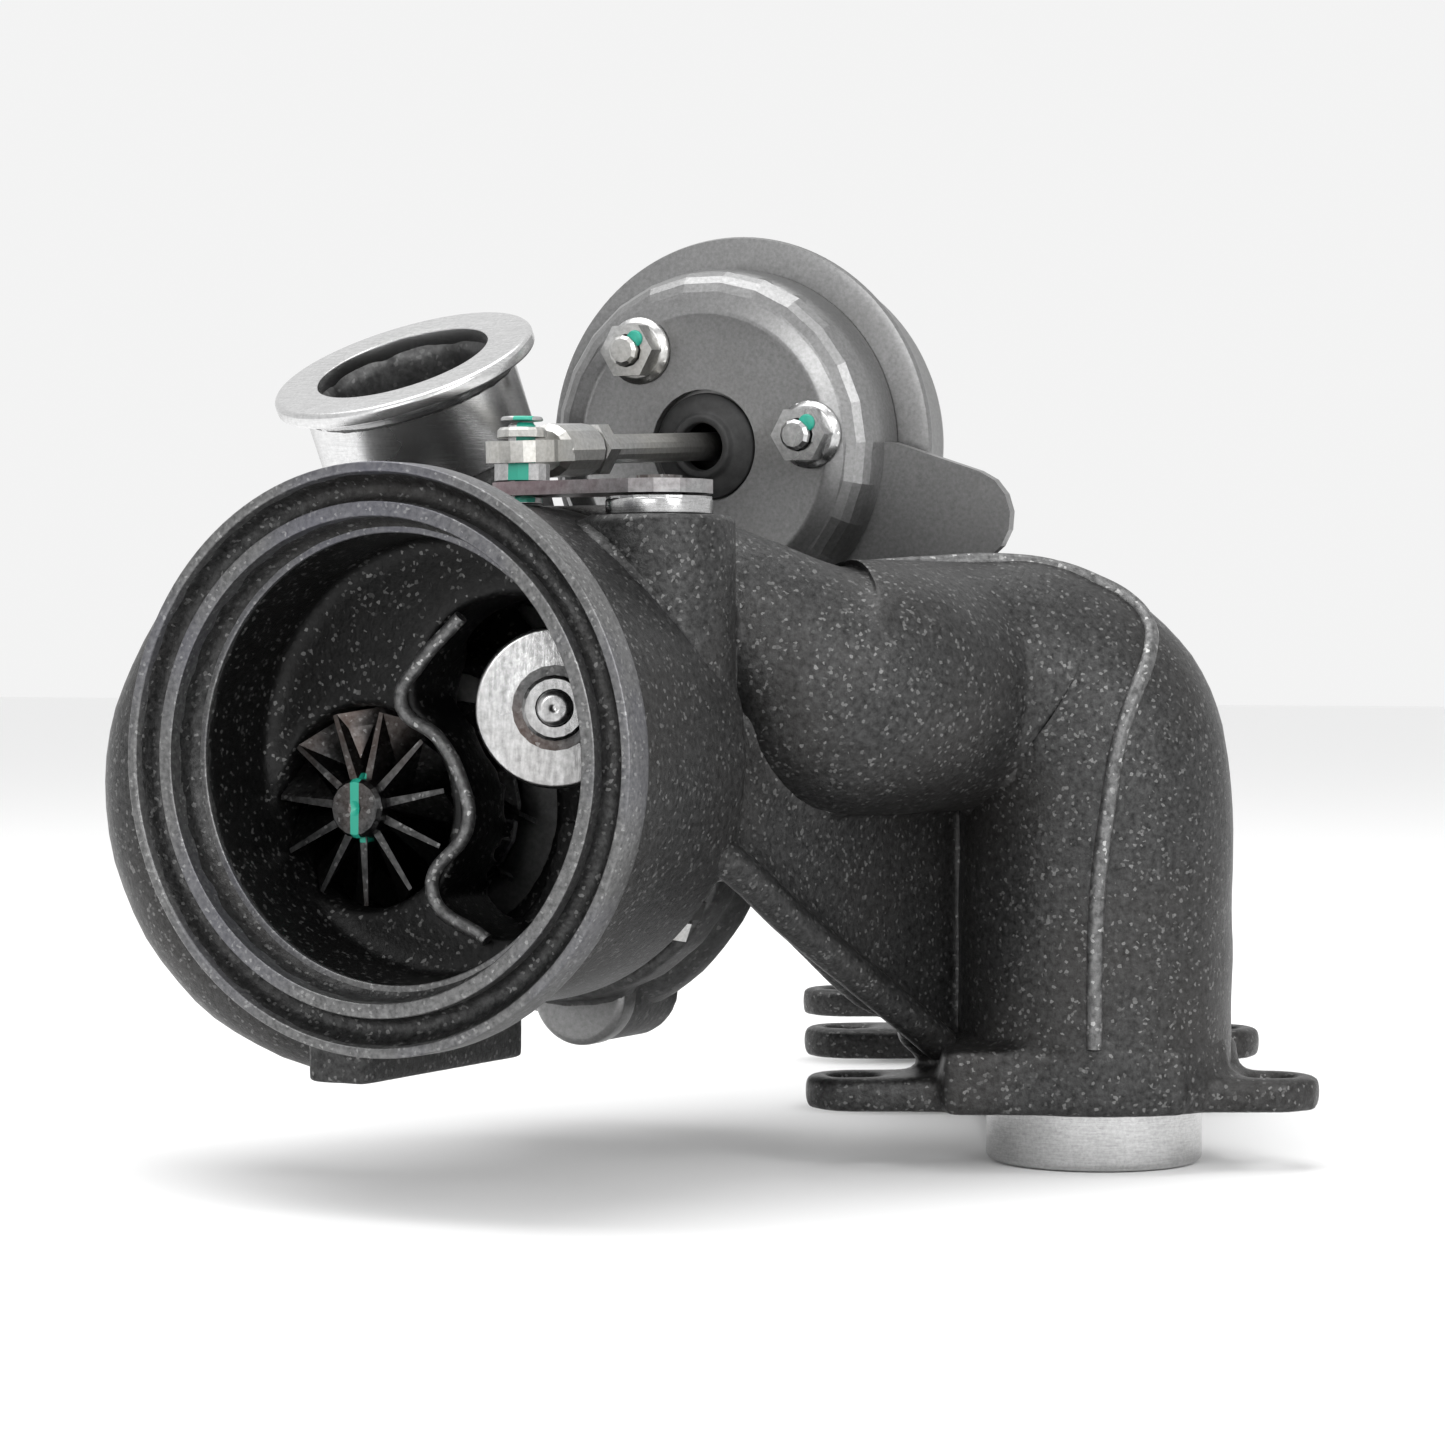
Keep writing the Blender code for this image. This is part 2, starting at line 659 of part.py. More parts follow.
def gate_pocket():
    """The recess beside the wheel where the flap sits and swings; the wheel shroud stays."""
    deep = (SEAT_X, 0, GATE_Z)
    front = EXDUCER_Y - 1
    pocket = disc("pocket", POCKET_R, front, SEAT_Y, deep, steps=26, group=CUTTERS)
    swing = disc("pocket_swing", FLAP_R + 2.5, front - 0.3, SEAT_Y - 1.5, (SEAT_X + 8, 0, GATE_Z),
                 steps=26, group=CUTTERS)
    lower = disc("pocket_lower", 16.5, front - 0.6, SEAT_Y - 2.0, (SHAFT_X + 28, 0, SHAFT_Z - 5),
                 steps=26, group=CUTTERS)
    knuckle = box("pocket_knuckle", (SEAT_X + 4, front + 0.2, GATE_Z - 7.4),
                  (GATE_SHAFT_X + 8.9, GATE_SHAFT_Y, GATE_Z + 7.6), CUTTERS)
    shroud = disc("pocket_shroud", EXDUCER_R + 4.0, front - 5, SEAT_Y + 5, SHAFT, steps=26,
                  group=CUTTERS)
    hub = upright("pocket_hub", [(GATE_SHAFT_X, GATE_SHAFT_Y)], 9.3, GATE_Z - 9.4, GATE_Z + 9.4)
    join(pocket, swing, lower, knuckle)
    cut(pocket, shroud)
    return [pocket, hub]


def flap_room():
    """Room for the flap at steps of its swing, from just off the seat to past the rest pose."""
    discs = []
    for angle in SWING_STEPS_DEG:
        room = disc(f"flap_room_{angle}", FLAP_R + 0.9, SEAT_Y - FLAP_THICKNESS - 1.2, SEAT_Y - 0.05,
                    (SEAT_X, 0, GATE_Z), steps=20, group=CUTTERS)
        room.data.transform(swung(angle))
        discs.append(room)
    return discs


def gusset():
    """Web from the drum down to the flange, with a thick edge."""
    start = Vector((GATE_SHAFT_X + 8.5, GATE_SHAFT_Y + 14, 0))
    end = Vector(on_row(-27.0, FIRST_PORT + 1.0, 0))
    run = end - start
    heading = Matrix.Rotation(math.atan2(run.y, run.x), 4, "Z")
    upright_turn = Matrix.Rotation(math.radians(90), 4, "X")
    place = Matrix.Translation(start * MM) @ heading @ upright_turn
    length = run.length
    low = 7.0
    high = RUNNER_Z - 31.0
    outline = [(-9, high + 2), (0, high), (length, low), (length + 6, low),
               (length + 6, RUNNER_Z - 6), (-9, RUNNER_Z - 6)]
    web = plate("gusset_web", outline, -2.6, 2.6, CUTTERS, place)
    edge = [start + run * t for t in (-0.12, 0.0, 0.5, 1.0)]
    heights = (high + 2, high, (high + low) / 2 - 1.0, low + 1.0)
    rib = tube("gusset_rib", [(p.x, p.y, z) for p, z in zip(edge, heights)], [4.0] * 4, 3, CUTTERS)
    return [web, rib]


LOCK_DIRECTION = Vector((0.5, -0.866, 0)).normalized()
LOCK_Z = BOSS_TOP_Z - 6.6


def lock_base(distance):
    return (GATE_SHAFT_X + LOCK_DIRECTION.x * distance, GATE_SHAFT_Y + LOCK_DIRECTION.y * distance,
            LOCK_Z)


def turbine_housing():
    """Turbine housing and exhaust manifold: one iron casting."""
    housing = outlet_drum()
    housing.name = "turbine_housing_manifold"
    CUTTERS.objects.unlink(housing)
    PARTS.objects.link(housing)
    housing.hide_render = False
    housing.display_type = "TEXTURED"
    gas = scroll_points() + runner_points()
    boss = upright("gate_boss", [(GATE_SHAFT_X, GATE_SHAFT_Y)], BOSS_R, GATE_Z - 14, BOSS_TOP_Z, 20)
    foot = box("foot", (SHAFT_X + 0.4, OUTLET_FACE_Y + 7.1, 11.0),
               (SHAFT_X + 12.4, TURBINE_END_Y - 8.0, 38.0), CUTTERS)
    leg = upright("middle_leg", [on_row(0, PORTS[1], 0)], LOG_R, FLANGE_BODY - 5, RUNNER_Z - 6)
    join(housing, turbine_core(), gas_tube("gas_wall", gas), boss, foot, gas_tube("log_wall", log_points()),
         leg, *gusset(), *head_flange())
    cut(housing, sealing_plane())
    gas_inner = [(*p[:3], max(p[3] - WALL, 2.2)) for p in gas[:-1:2]]
    port = on_row(0, FIRST_PORT, 0)
    gas_inner += [(port[0], port[1], 22.0, PORT_BORE_R), (port[0], port[1], -2.0, PORT_BORE_R)]
    bores = [
        upright(f"port_bore_{k}", [on_row(0, place, 0)], PORT_BORE_R, -3, top)
        for k, place, top in ((2, PORTS[1], RUNNER_Z - 5), (3, PORTS[2], 44.0))
    ]
    cut(housing, gas_tube("gas_passage", gas_inner, sides=2), *bores,
        gas_tube("log_passage", log_points()[1:], WALL + 1.0, 2))
    cut(housing, port_pins("sleeve_seats", SLEEVE_R + 2 * GAP, -2, 8.0))
    cut(housing, upright("ear_holes", ear_places(), EAR_HOLE_R, -2, 20, 12),
        upright("ear_spotfaces", ear_places(), EAR_R - 1.6, EAR_THICKNESS + 0.1, 30, 16))
    chamber = disc("outlet_bore", OUTLET_BORE_R, 5.0, OUTLET_DEPTH, OUTLET, steps=26, group=CUTTERS)
    cut(housing, chamber, rotor_bore(), band_room(), *gate_pocket())
    cut(housing, *flap_room())
    cut(housing, disc("gate_bypass", SEAT_BORE_R, SEAT_Y - 2, SEAT_Y + 15, (SEAT_X, 0, GATE_Z),
                      steps=20, group=CUTTERS))
    cut(housing, upright("bushing_bore", [(GATE_SHAFT_X, GATE_SHAFT_Y)], BUSHING_R - 1.9,
                         GATE_Z, BOSS_TOP_Z + 2))
    cut(housing, disc("lock_recess", 3.3, BOSS_R - 2.6, BOSS_R + 4, lock_base(0), LOCK_DIRECTION,
                      16, CUTTERS))
    cut(housing, disc("lock_hole", 1.9, BUSHING_R - 3, BOSS_R, lock_base(0), LOCK_DIRECTION, 12,
                      CUTTERS))
    return dress(housing, CAST_IRON)


def port_sleeves():
    """Machined pilots pressed into the ports; they stand proud of the sealing face."""
    for k, port in enumerate(PORTS):
        profile = [
            (PORT_BORE_R + 1.2, -SLEEVE_DROP), (SLEEVE_R - 0.8, -SLEEVE_DROP),
            (SLEEVE_R, -SLEEVE_DROP + 0.8), (SLEEVE_R, 7.7), (PORT_BORE_R + 1.2, 7.7),
        ]
        sleeve = turned(f"port_sleeve_{k + 1}", profile, on_row(0, port, 0), ALONG_Z, 20)
        dress(sleeve, MACHINED_STEEL)


# ---------------------------------------------------------------- wastegate

GATE_AXIS = (GATE_SHAFT_X, GATE_SHAFT_Y, 0)
SWING_STEPS_DEG = (1, 5, 10, 15, 20, 25, 31, 37)


def swung(angle_deg):
    """Turn about the wastegate shaft from the closed seat."""
    axis = Vector(GATE_AXIS) * MM
    swing = Matrix.Rotation(math.radians(angle_deg), 4, "Z")
    return Matrix.Translation(axis) @ swing @ Matrix.Translation(-axis)


def opened():
    """Turn from the closed seat to the rest pose."""
    return swung(GATE_OPEN_DEG)


def wastegate_bushing():
    bore = GATE_SHAFT_R + GAP
    body = BUSHING_R - 1.9 - GAP
    profile = [
        (bore, GATE_Z + 9.8), (body, GATE_Z + 9.8), (body, BOSS_TOP_Z + GAP),
        (BUSHING_R, BOSS_TOP_Z + GAP), (BUSHING_R, BOSS_TOP_Z + BUSHING_HEAD), (bore, BOSS_TOP_Z + BUSHING_HEAD),
    ]
    bushing = turned("wastegate_bushing", profile, GATE_AXIS, ALONG_Z, 20)
    cut(bushing, disc("bushing_lock", 1.9, GATE_SHAFT_R + 1.2, BUSHING_R, lock_base(0),
                      LOCK_DIRECTION, 12, CUTTERS))
    dress(bushing, MACHINED_STEEL)
    pin = disc("bushing_lock_pin", 1.6, GATE_SHAFT_R + 1.7, BOSS_R - 1.4, lock_base(0),
               LOCK_DIRECTION, 16)
    dress(pin, MACHINED_STEEL)


def gate_shaft():
    """Vertical shaft with the arm that carries the flap."""
    hub = [
        (0, GATE_Z - 8.6), (5.3, GATE_Z - 8.6), (5.3, GATE_Z + 8.4), (GATE_SHAFT_R, GATE_Z + 9.0),
        (GATE_SHAFT_R, BOSS_TOP_Z + BUSHING_HEAD + LEVER_THICKNESS + 1.3),
        (0, BOSS_TOP_Z + BUSHING_HEAD + LEVER_THICKNESS + 1.3),
    ]
    shaft = turned("wastegate_shaft_arm", hub, GATE_AXIS, ALONG_Z, 16)
    front = SEAT_Y - GAP - FLAP_THICKNESS - GAP
    eye = disc("arm_eye", 7.3, front - 3.8, front, (SEAT_X, 0, GATE_Z), steps=20, group=CUTTERS)
    bar = box("arm_bar", (SEAT_X + 2, front - 3.8, GATE_Z - 4.6), (GATE_SHAFT_X, front, GATE_Z + 4.6),
              CUTTERS)
    knuckle = box("arm_knuckle", (SEAT_X + FLAP_R + 0.6, front - 3.8, GATE_Z - 4.6),
                  (GATE_SHAFT_X + 0.8, GATE_SHAFT_Y - 3, GATE_Z + 4.6), CUTTERS)
    hole = disc("arm_hole", 3.0 + GAP, front - 8, front + 2, (SEAT_X, 0, GATE_Z), steps=14, group=CUTTERS)
    for helper in (eye, bar, knuckle, hole):
        helper.data.transform(opened())
    join(shaft, eye, bar, knuckle)
    cut(shaft, hole)
    return dress(shaft, DARK_ALLOY)


def flap():
    """Flap disc with its stem, and the washer riveted over the arm's eye."""
    seat = SEAT_Y - GAP
    front = seat - FLAP_THICKNESS
    eye_front = front - GAP - 3.8
    profile = [
        (0, seat), (FLAP_R - 0.6, seat), (FLAP_R, seat - 0.6), (FLAP_R, front + 0.5),
        (FLAP_R - 0.5, front), (3.0, front), (3.0, eye_front - 2.6), (2.2, eye_front - 3.2),
        (0, eye_front - 3.2),
    ]
    disc_item = turned("wastegate_flap", profile, (SEAT_X, 0, GATE_Z), steps=20)
    disc_item.data.transform(opened())
    dress(disc_item, MACHINED_STEEL)
    washer = [
        (3.0 + GAP, eye_front - GAP), (5.6, eye_front - GAP), (5.6, eye_front - GAP - 0.8),
        (5.0, eye_front - GAP - 1.4), (3.0 + GAP, eye_front - GAP - 1.4),
    ]
    washer_item = turned("flap_washer", washer, (SEAT_X, 0, GATE_Z), steps=20)
    washer_item.data.transform(opened())
    dress(washer_item, MACHINED_STEEL)


LEVER_TILT = math.radians(3.6)
PIN_X = GATE_SHAFT_X - LEVER_LENGTH * math.cos(LEVER_TILT)
PIN_Y = GATE_SHAFT_Y - LEVER_LENGTH * math.sin(LEVER_TILT)
PIN = (PIN_X, PIN_Y, ROD_Z)
PIN_R = 2.4
LEVER_LOW = BOSS_TOP_Z + BUSHING_HEAD + 0.5
LEVER_HIGH = LEVER_LOW + LEVER_THICKNESS


def lever():
    outline = capsule((GATE_SHAFT_X, GATE_SHAFT_Y), (PIN_X, PIN_Y), LEVER_BIG_R, LEVER_SMALL_R)
    item = plate("wastegate_lever", outline, LEVER_LOW, LEVER_HIGH)
    holes = upright("lever_shaft_hole", [GATE_AXIS], GATE_SHAFT_R + GAP, LEVER_LOW - 2, LEVER_HIGH + 2)
    small = upright("lever_pin_hole", [(PIN_X, PIN_Y)], PIN_R + GAP, LEVER_LOW - 2, LEVER_HIGH + 2, 20)
    cut(item, holes, small)
    dress(item, PRESSED_STEEL)


def lever_pin():
    """Riveted pin with a collar under the rod eye, and the clip that holds the eye on."""
    low = LEVER_LOW - GAP
    collar = LEVER_HIGH + GAP
    top = ROD_Z + 5.0
    profile = [
        (0, low - 0.9), (3.6, low - 0.9), (3.6, low), (PIN_R, low), (PIN_R, collar),
        (4.9, collar), (4.9, ROD_Z - 2.3), (PIN_R, ROD_Z - 2.3), (PIN_R, top - 0.5),
        (PIN_R - 0.5, top), (0, top),
    ]
    dress(turned("lever_pin", profile, (PIN_X, PIN_Y, 0), ALONG_Z, 16), ZINC_STEEL)
    clip = [
        (PIN_R + GAP, ROD_Z + 2.4), (4.4, ROD_Z + 2.4), (4.4, ROD_Z + 3.6), (3.9, ROD_Z + 4.1),
        (PIN_R + GAP, ROD_Z + 4.1),
    ]
    dress(turned("lever_pin_clip", clip, (PIN_X, PIN_Y, 0), ALONG_Z, 16), ZINC_STEEL)


# ---------------------------------------------------------------- rod and actuator

ROD_TURN = (
    Matrix.Rotation(math.radians(ROD_YAW_DEG), 4, "Z")
    @ Matrix.Rotation(math.radians(ROD_PITCH_DEG), 4, "X")
)
ROD_DIRECTION = ROD_TURN @ Vector(ALONG_Y)
FACE = ROD_LENGTH


def rod_point(x, y, z):
    """World point from coordinates about the rod's eye, +y along the rod into the actuator."""
    return tuple(Vector(PIN) + ROD_TURN @ Vector((x, y, z)))


def rod_frame(x=0, y=0, z=0):
    return Matrix.Translation(Vector(rod_point(x, y, z)) * MM) @ ROD_TURN


def along_rod(name, profile, finish, x=0, z=0, steps=24, group=None):
    item = turned(name, profile, rod_point(x, 0, z), ROD_DIRECTION, steps, group)
    return dress(item, finish) if finish else item


def rod_end():
    thick = 1.9
    eye = plate("rod_end", arc(0, 0, 6.4, 0, 340, 17), -thick, thick, turn=rod_frame())
    tongue = box("eye_tongue", (-4.7, 2.0, -thick), (4.7, 11.0, thick), CUTTERS, rod_frame(0, 0, 0))
    neck = [(0, 9.0), (3.6, 9.0), (4.8, 10.4), (4.8, 23.0), (4.2, 24.0), (0, 24.0)]
    barrel = along_rod("eye_barrel", neck, None, group=CUTTERS, steps=16)
    thread = along_rod("eye_thread", [(0, 12.0), (ROD_R + GAP, 12.0), (ROD_R + GAP, 26.0), (0, 26.0)],
                       None, group=CUTTERS, steps=14)
    hole = plate("eye_hole", arc(0, 0, PIN_R + 0.6, 0, 337.5, 15), -4, 4, CUTTERS, rod_frame())
    join(eye, tongue, barrel)
    cut(eye, thread, hole)
    dress(eye, ZINC_STEEL)


def rod_and_piston():
    bore = ROD_R + GAP
    place = rod_frame(0, 24.4, 0) @ facing(ALONG_Y)
    nut = plate("rod_jam_nut", hexagon(9.0), 0, 4.2, turn=place)
    cut(nut, along_rod("jam_bore", [(0, 23), (bore, 23), (bore, 30), (0, 30)], None, group=CUTTERS,
                       steps=14))
    dress(nut, ZINC_STEEL)
    end = FACE + 21.0
    rod = [(0, 12.4), (ROD_R, 12.4), (ROD_R, end - 0.6), (ROD_R - 0.6, end), (0, end)]
    along_rod("actuator_rod", rod, ZINC_STEEL, steps=16)
    low = FACE + 18.6
    cup = [
        (bore, low), (23.0, low), (23.4, low + 0.5), (23.4, low + 7.0), (22.2, low + 7.0),
        (22.2, low + 1.2), (bore, low + 1.2),
    ]
    along_rod("actuator_piston", cup, PRESSED_STEEL, steps=26)


STUD_ANGLES = [STUD_FIRST_DEG + 120 * k for k in range(3)]


def stud_offsets():
    return [
        (STUD_CIRCLE_R * math.cos(math.radians(a)), STUD_CIRCLE_R * math.sin(math.radians(a)))
        for a in STUD_ANGLES
    ]


def stud_holes(name):
    """Three clearance holes through the actuator's face, as separate helpers."""
    hole = 2.9 + GAP
    profile = [(0, FACE - 4), (hole, FACE - 4), (hole, FACE + 8), (0, FACE + 8)]
    return [
        along_rod(f"{name}_{k + 1}", profile, None, x, z, 16, CUTTERS)
        for k, (x, z) in enumerate(stud_offsets())
    ]


TAB_Y = 11.0
TAB_THICKNESS = 2.5
LEG_BOLTS = [(12.0, -53.0), (-38.8, -42.6)]


def actuator_bracket():
    """Drawn dish that carries the actuator, with a side tab and two legs to the cover."""
    skin = 1.8
    corner = 6.0
    outer = [(r, h) for r, h in arc(DISH_R - corner, FACE + corner, corner, 270, 360, 5)]
    inner = [(r, h) for r, h in arc(DISH_R - corner, FACE + corner, corner - skin, 360, 270, 5)]
    profile = [(RECESS_R, FACE)] + outer + [
        (DISH_R, FACE + DISH_DEPTH - 0.4), (DISH_R - skin, FACE + DISH_DEPTH - 0.4),
    ] + inner + [(RECESS_R, FACE + skin)]
    dish = along_rod("actuator_bracket", profile, None, steps=26)
    sheet = rod_frame(0, FACE + TAB_Y, 0) @ Matrix.Rotation(math.radians(90), 4, "X")
    arms = [capsule((32, -12.5), (50.5, -14.5), 13, 9.0)]
    arms += [capsule((x * 0.55, z * 0.55), (x, z), 10, 7.0) for x, z in LEG_BOLTS]
    plates = [
        plate(f"bracket_arm_{k + 1}", arm, 0, TAB_THICKNESS, CUTTERS, sheet)
        for k, arm in enumerate(arms)
    ]
    inside = DISH_R - skin + 0.12
    clearance = [(0, FACE + 6), (inside, FACE + 6), (inside, FACE + 40), (0, FACE + 40)]
    join(dish, *plates)
    cut(dish, along_rod("bracket_inside", clearance, None, steps=26, group=CUTTERS))
    cut(dish, *stud_holes("bracket_stud_hole"))
    hole = [(0, FACE), (3.3, FACE), (3.3, FACE + 20), (0, FACE + 20)]
    cut(dish, *[
        along_rod(f"bracket_leg_hole_{k + 1}", hole, None, x, z, 16, CUTTERS)
        for k, (x, z) in enumerate(LEG_BOLTS)
    ])
    dress(dish, PRESSED_STEEL)


def actuator_can():
    lip = FACE + DISH_DEPTH + 0.4
    side = DISH_R - 2.5
    front = [
        (6.0, FACE + 2.2), (side - 5.0, FACE + 2.2), (side, FACE + 7.6), (side, lip),
        (CAN_RIM_R - 1.6, lip), (CAN_RIM_R - 1.6, lip + 1.2), (side - 1.2, lip + 1.2),
        (side - 1.2, FACE + 8.2), (side - 5.5, FACE + 3.4), (6.0, FACE + 3.4),
    ]
    shell = along_rod("actuator_front_shell", front, None, steps=26)
    cut(shell, *stud_holes("shell_stud_hole"))
    dress(shell, PRESSED_STEEL)
    end = lip + CAN_DEPTH
    hook = CAN_RIM_R - 1.6 + GAP
    rear = [
        (hook, lip - 0.8), (CAN_RIM_R, lip - 0.3), (CAN_RIM_R, lip + 4.0), (CAN_R, lip + 4.4),
        (CAN_R, end - 6), (CAN_R - 6, end), (3.2, end), (3.2, end - 1.2),
        (CAN_R - 6.5, end - 1.2), (CAN_R - 1.2, end - 6.5), (CAN_R - 1.2, lip + 2.9),
        (hook, lip + 2.9),
    ]
    along_rod("actuator_rear_shell", rear, PRESSED_STEEL, steps=26)
    rolled = [
        (24.4, lip + 1.5), (CAN_RIM_R - 1.6, lip + 1.5), (CAN_RIM_R - 1.6, lip + 2.6),
        (28.0, lip + 2.6), (27.0, lip + 5.0), (25.2, lip + 5.0), (24.4, lip + 3.6),
    ]
    along_rod("actuator_diaphragm", rolled, RUBBER, steps=26)
    nipple = [
        (1.3, end - 1.0), (2.8, end - 1.0), (2.8, end + GAP), (5.5, end + GAP), (5.5, end + 1.5),
        (2.9, end + 2.2), (2.9, end + 8), (3.5, end + 9), (2.6, end + 12), (1.3, end + 12),
    ]
    along_rod("vacuum_nipple", nipple, ZINC_STEEL, steps=14)
    spring(end - 1.5)


def spring(end):
    """Return spring between the piston and the rear shell, drawn at its closed length."""
    turns = 1.6
    wire = 1.0
    count = 26
    pitch = 2 * wire + 0.4
    start = end - wire - turns * pitch
    points = []
    for i in range(count + 1):
        angle = 2 * math.pi * turns * i / count
        along = start + pitch * turns * i / count
        points.append(rod_point(14 * math.cos(angle), along, 14 * math.sin(angle)))
    item = tube("actuator_return_spring", points, [wire] * len(points), 1)
    dress(item, SPRING_STEEL, 60)


def rod_boot():
    lip = 4.5
    profile = [
        (lip, FACE - 1.4), (lip + 1.4, FACE - 1.4), (lip + 1.9, FACE - 0.2), (RECESS_R - 2.2, FACE + 0.4),
        (RECESS_R - 0.6, FACE + 1.0), (RECESS_R - 0.6, FACE + 1.9), (lip, FACE + 1.9),
    ]
    along_rod("rod_boot", profile, RUBBER)


def studs_and_nuts():
    """Three studs from inside the front shell, each with a flange nut on the dish."""
    for k, (x, z) in enumerate(stud_offsets()):
        stud = [
            (0, FACE - 8.6), (2.3, FACE - 8.6), (2.9, FACE - 8.0), (2.9, FACE + 3.6),
            (3.2, FACE + 3.6 + GAP), (3.2, FACE + 4.8), (0, FACE + 4.8),
        ]
        stud[3] = (2.9, FACE + 3.7)
        stud[4] = (3.2, FACE + 3.7)
        along_rod(f"actuator_stud_{k + 1}", stud, ZINC_STEEL, x, z, 12)
        seat = FACE - GAP
        collar = [(2.6, seat), (6.4, seat), (6.4, seat - 1.0), (5.2, seat - 2.0), (2.6, seat - 2.0)]
        nut = along_rod(f"actuator_nut_{k + 1}", collar, None, x, z, 16)
        place = rod_frame(x, seat - 1.2, z) @ facing((0, -1, 0))
        hexed = plate(f"nut_hex_{k + 1}", hexagon(9.6), 0, 5.0, CUTTERS, place)
        bore = [(0, seat + 2), (2.9 + GAP, seat + 2), (2.9 + GAP, seat - 9), (0, seat - 9)]
        join(nut, hexed)
        cut(nut, along_rod(f"nut_bore_{k + 1}", bore, None, x, z, 12, CUTTERS))
        dress(nut, ZINC_STEEL)


def bracket_bolts():
    """Bolts through the bracket's legs into the compressor cover."""
    front = FACE + TAB_Y
    for k, (x, z) in enumerate(LEG_BOLTS):
        profile = [
            (0, front - 16), (2.7, front - 16), (2.7, front + GAP), (5.8, front + GAP),
            (5.8, front + 1.6), (0, front + 1.6),
        ]
        bolt = along_rod(f"bracket_bolt_{k + 1}", profile, None, x, z, 16)
        place = rod_frame(x, front + 1.0, z) @ facing(ALONG_Y)
        join(bolt, plate(f"bolt_hex_{k + 1}", hexagon(8.6), 0, 4.6, CUTTERS, place))
        dress(bolt, ZINC_STEEL)


# ---------------------------------------------------------------- centre housing

def heat_shield():
    front = TURBINE_BACK_Y + 2.4
    rim = TURBINE_END_Y - 1.0
    wall = CENTRE_FLANGE_R - 7.4
    profile = [
        (9.2, front), (wall - 2, front), (wall, front + 2), (wall, rim), (wall + 3.4, rim),
        (wall + 3.4, rim + 0.8), (wall - 0.8, rim + 0.8), (wall - 0.8, front + 2.4),
        (wall - 2.4, front + 0.8), (9.2, front + 0.8),
    ]
    dress(turned("heat_shield", profile, SHAFT, steps=26), PRESSED_STEEL)


OIL_Y = (TURBINE_END_Y + CENTRE_END_Y) / 2 + 0.3


def centre_housing():
    """Bearing housing with oil and coolant bosses."""
    nose = TURBINE_END_Y - 10.2
    face = TURBINE_END_Y + GAP
    profile = [
        (0, nose), (14, nose), (17, nose + 3), (20.5, face), (CENTRE_FLANGE_R, face),
        (CENTRE_FLANGE_R, face + 1.6), (CENTRE_R + 2, face + 4.0), (CENTRE_R, face + 5.0),
        (CENTRE_R, CENTRE_END_Y - 5), (28, CENTRE_END_Y - 4), (28, CENTRE_END_Y), (0, CENTRE_END_Y),
    ]
    housing = turned("centre_housing", profile, SHAFT, steps=20)
    top = (SHAFT_X, OIL_Y, SHAFT_Z)
    inlet = disc("oil_inlet_boss", 8.5, 12, CENTRE_R + 4.5, top, ALONG_Z, 17, CUTTERS)
    drain = disc("oil_drain_boss", 9.4, -CENTRE_R - 6, -12, top, ALONG_Z, 19, CUTTERS)
    water = disc("water_boss", 7.6, -CENTRE_R - 6, -12, top, (1, 0, 0), 17, CUTTERS)
    join(housing, inlet, drain, water)
    second = CENTRE_END_Y - 6.0
    bore = [
        (0, nose - 2), (SHAFT_R + 3.9 + 0.15, nose - 2), (SHAFT_R + 3.9 + 0.15, nose + 5.4),
        (BEARING_BORE_R, nose + 5.4), (BEARING_BORE_R, second - 0.2), (8.2, second - 0.2),
        (8.2, CENTRE_END_Y - 4.3), (15.4, CENTRE_END_Y - 4.3), (15.4, CENTRE_END_Y + 2), (0, CENTRE_END_Y + 2),
    ]
    cut(housing, turned("bearing_bore", bore, SHAFT, steps=20, group=CUTTERS))
    cut(housing, disc("oil_feed", 2.4, 0.7, CENTRE_R + 8, top, ALONG_Z, 15, CUTTERS))
    cut(housing, disc("oil_outlet", 5.5, -CENTRE_R - 8, -0.9, top, ALONG_Z, 15, CUTTERS))
    cut(housing, disc("water_hole", 4.0, -CENTRE_R - 8, -14.3, top, (1, 0, 0), 13, CUTTERS))
    dress(housing, CAST_IRON)


BAND_LUG_DEG = 340.0
BAND_OUTER_R = CENTRE_FLANGE_R + 3.4
BAND_LOW_Y = TURBINE_END_Y - 6.0


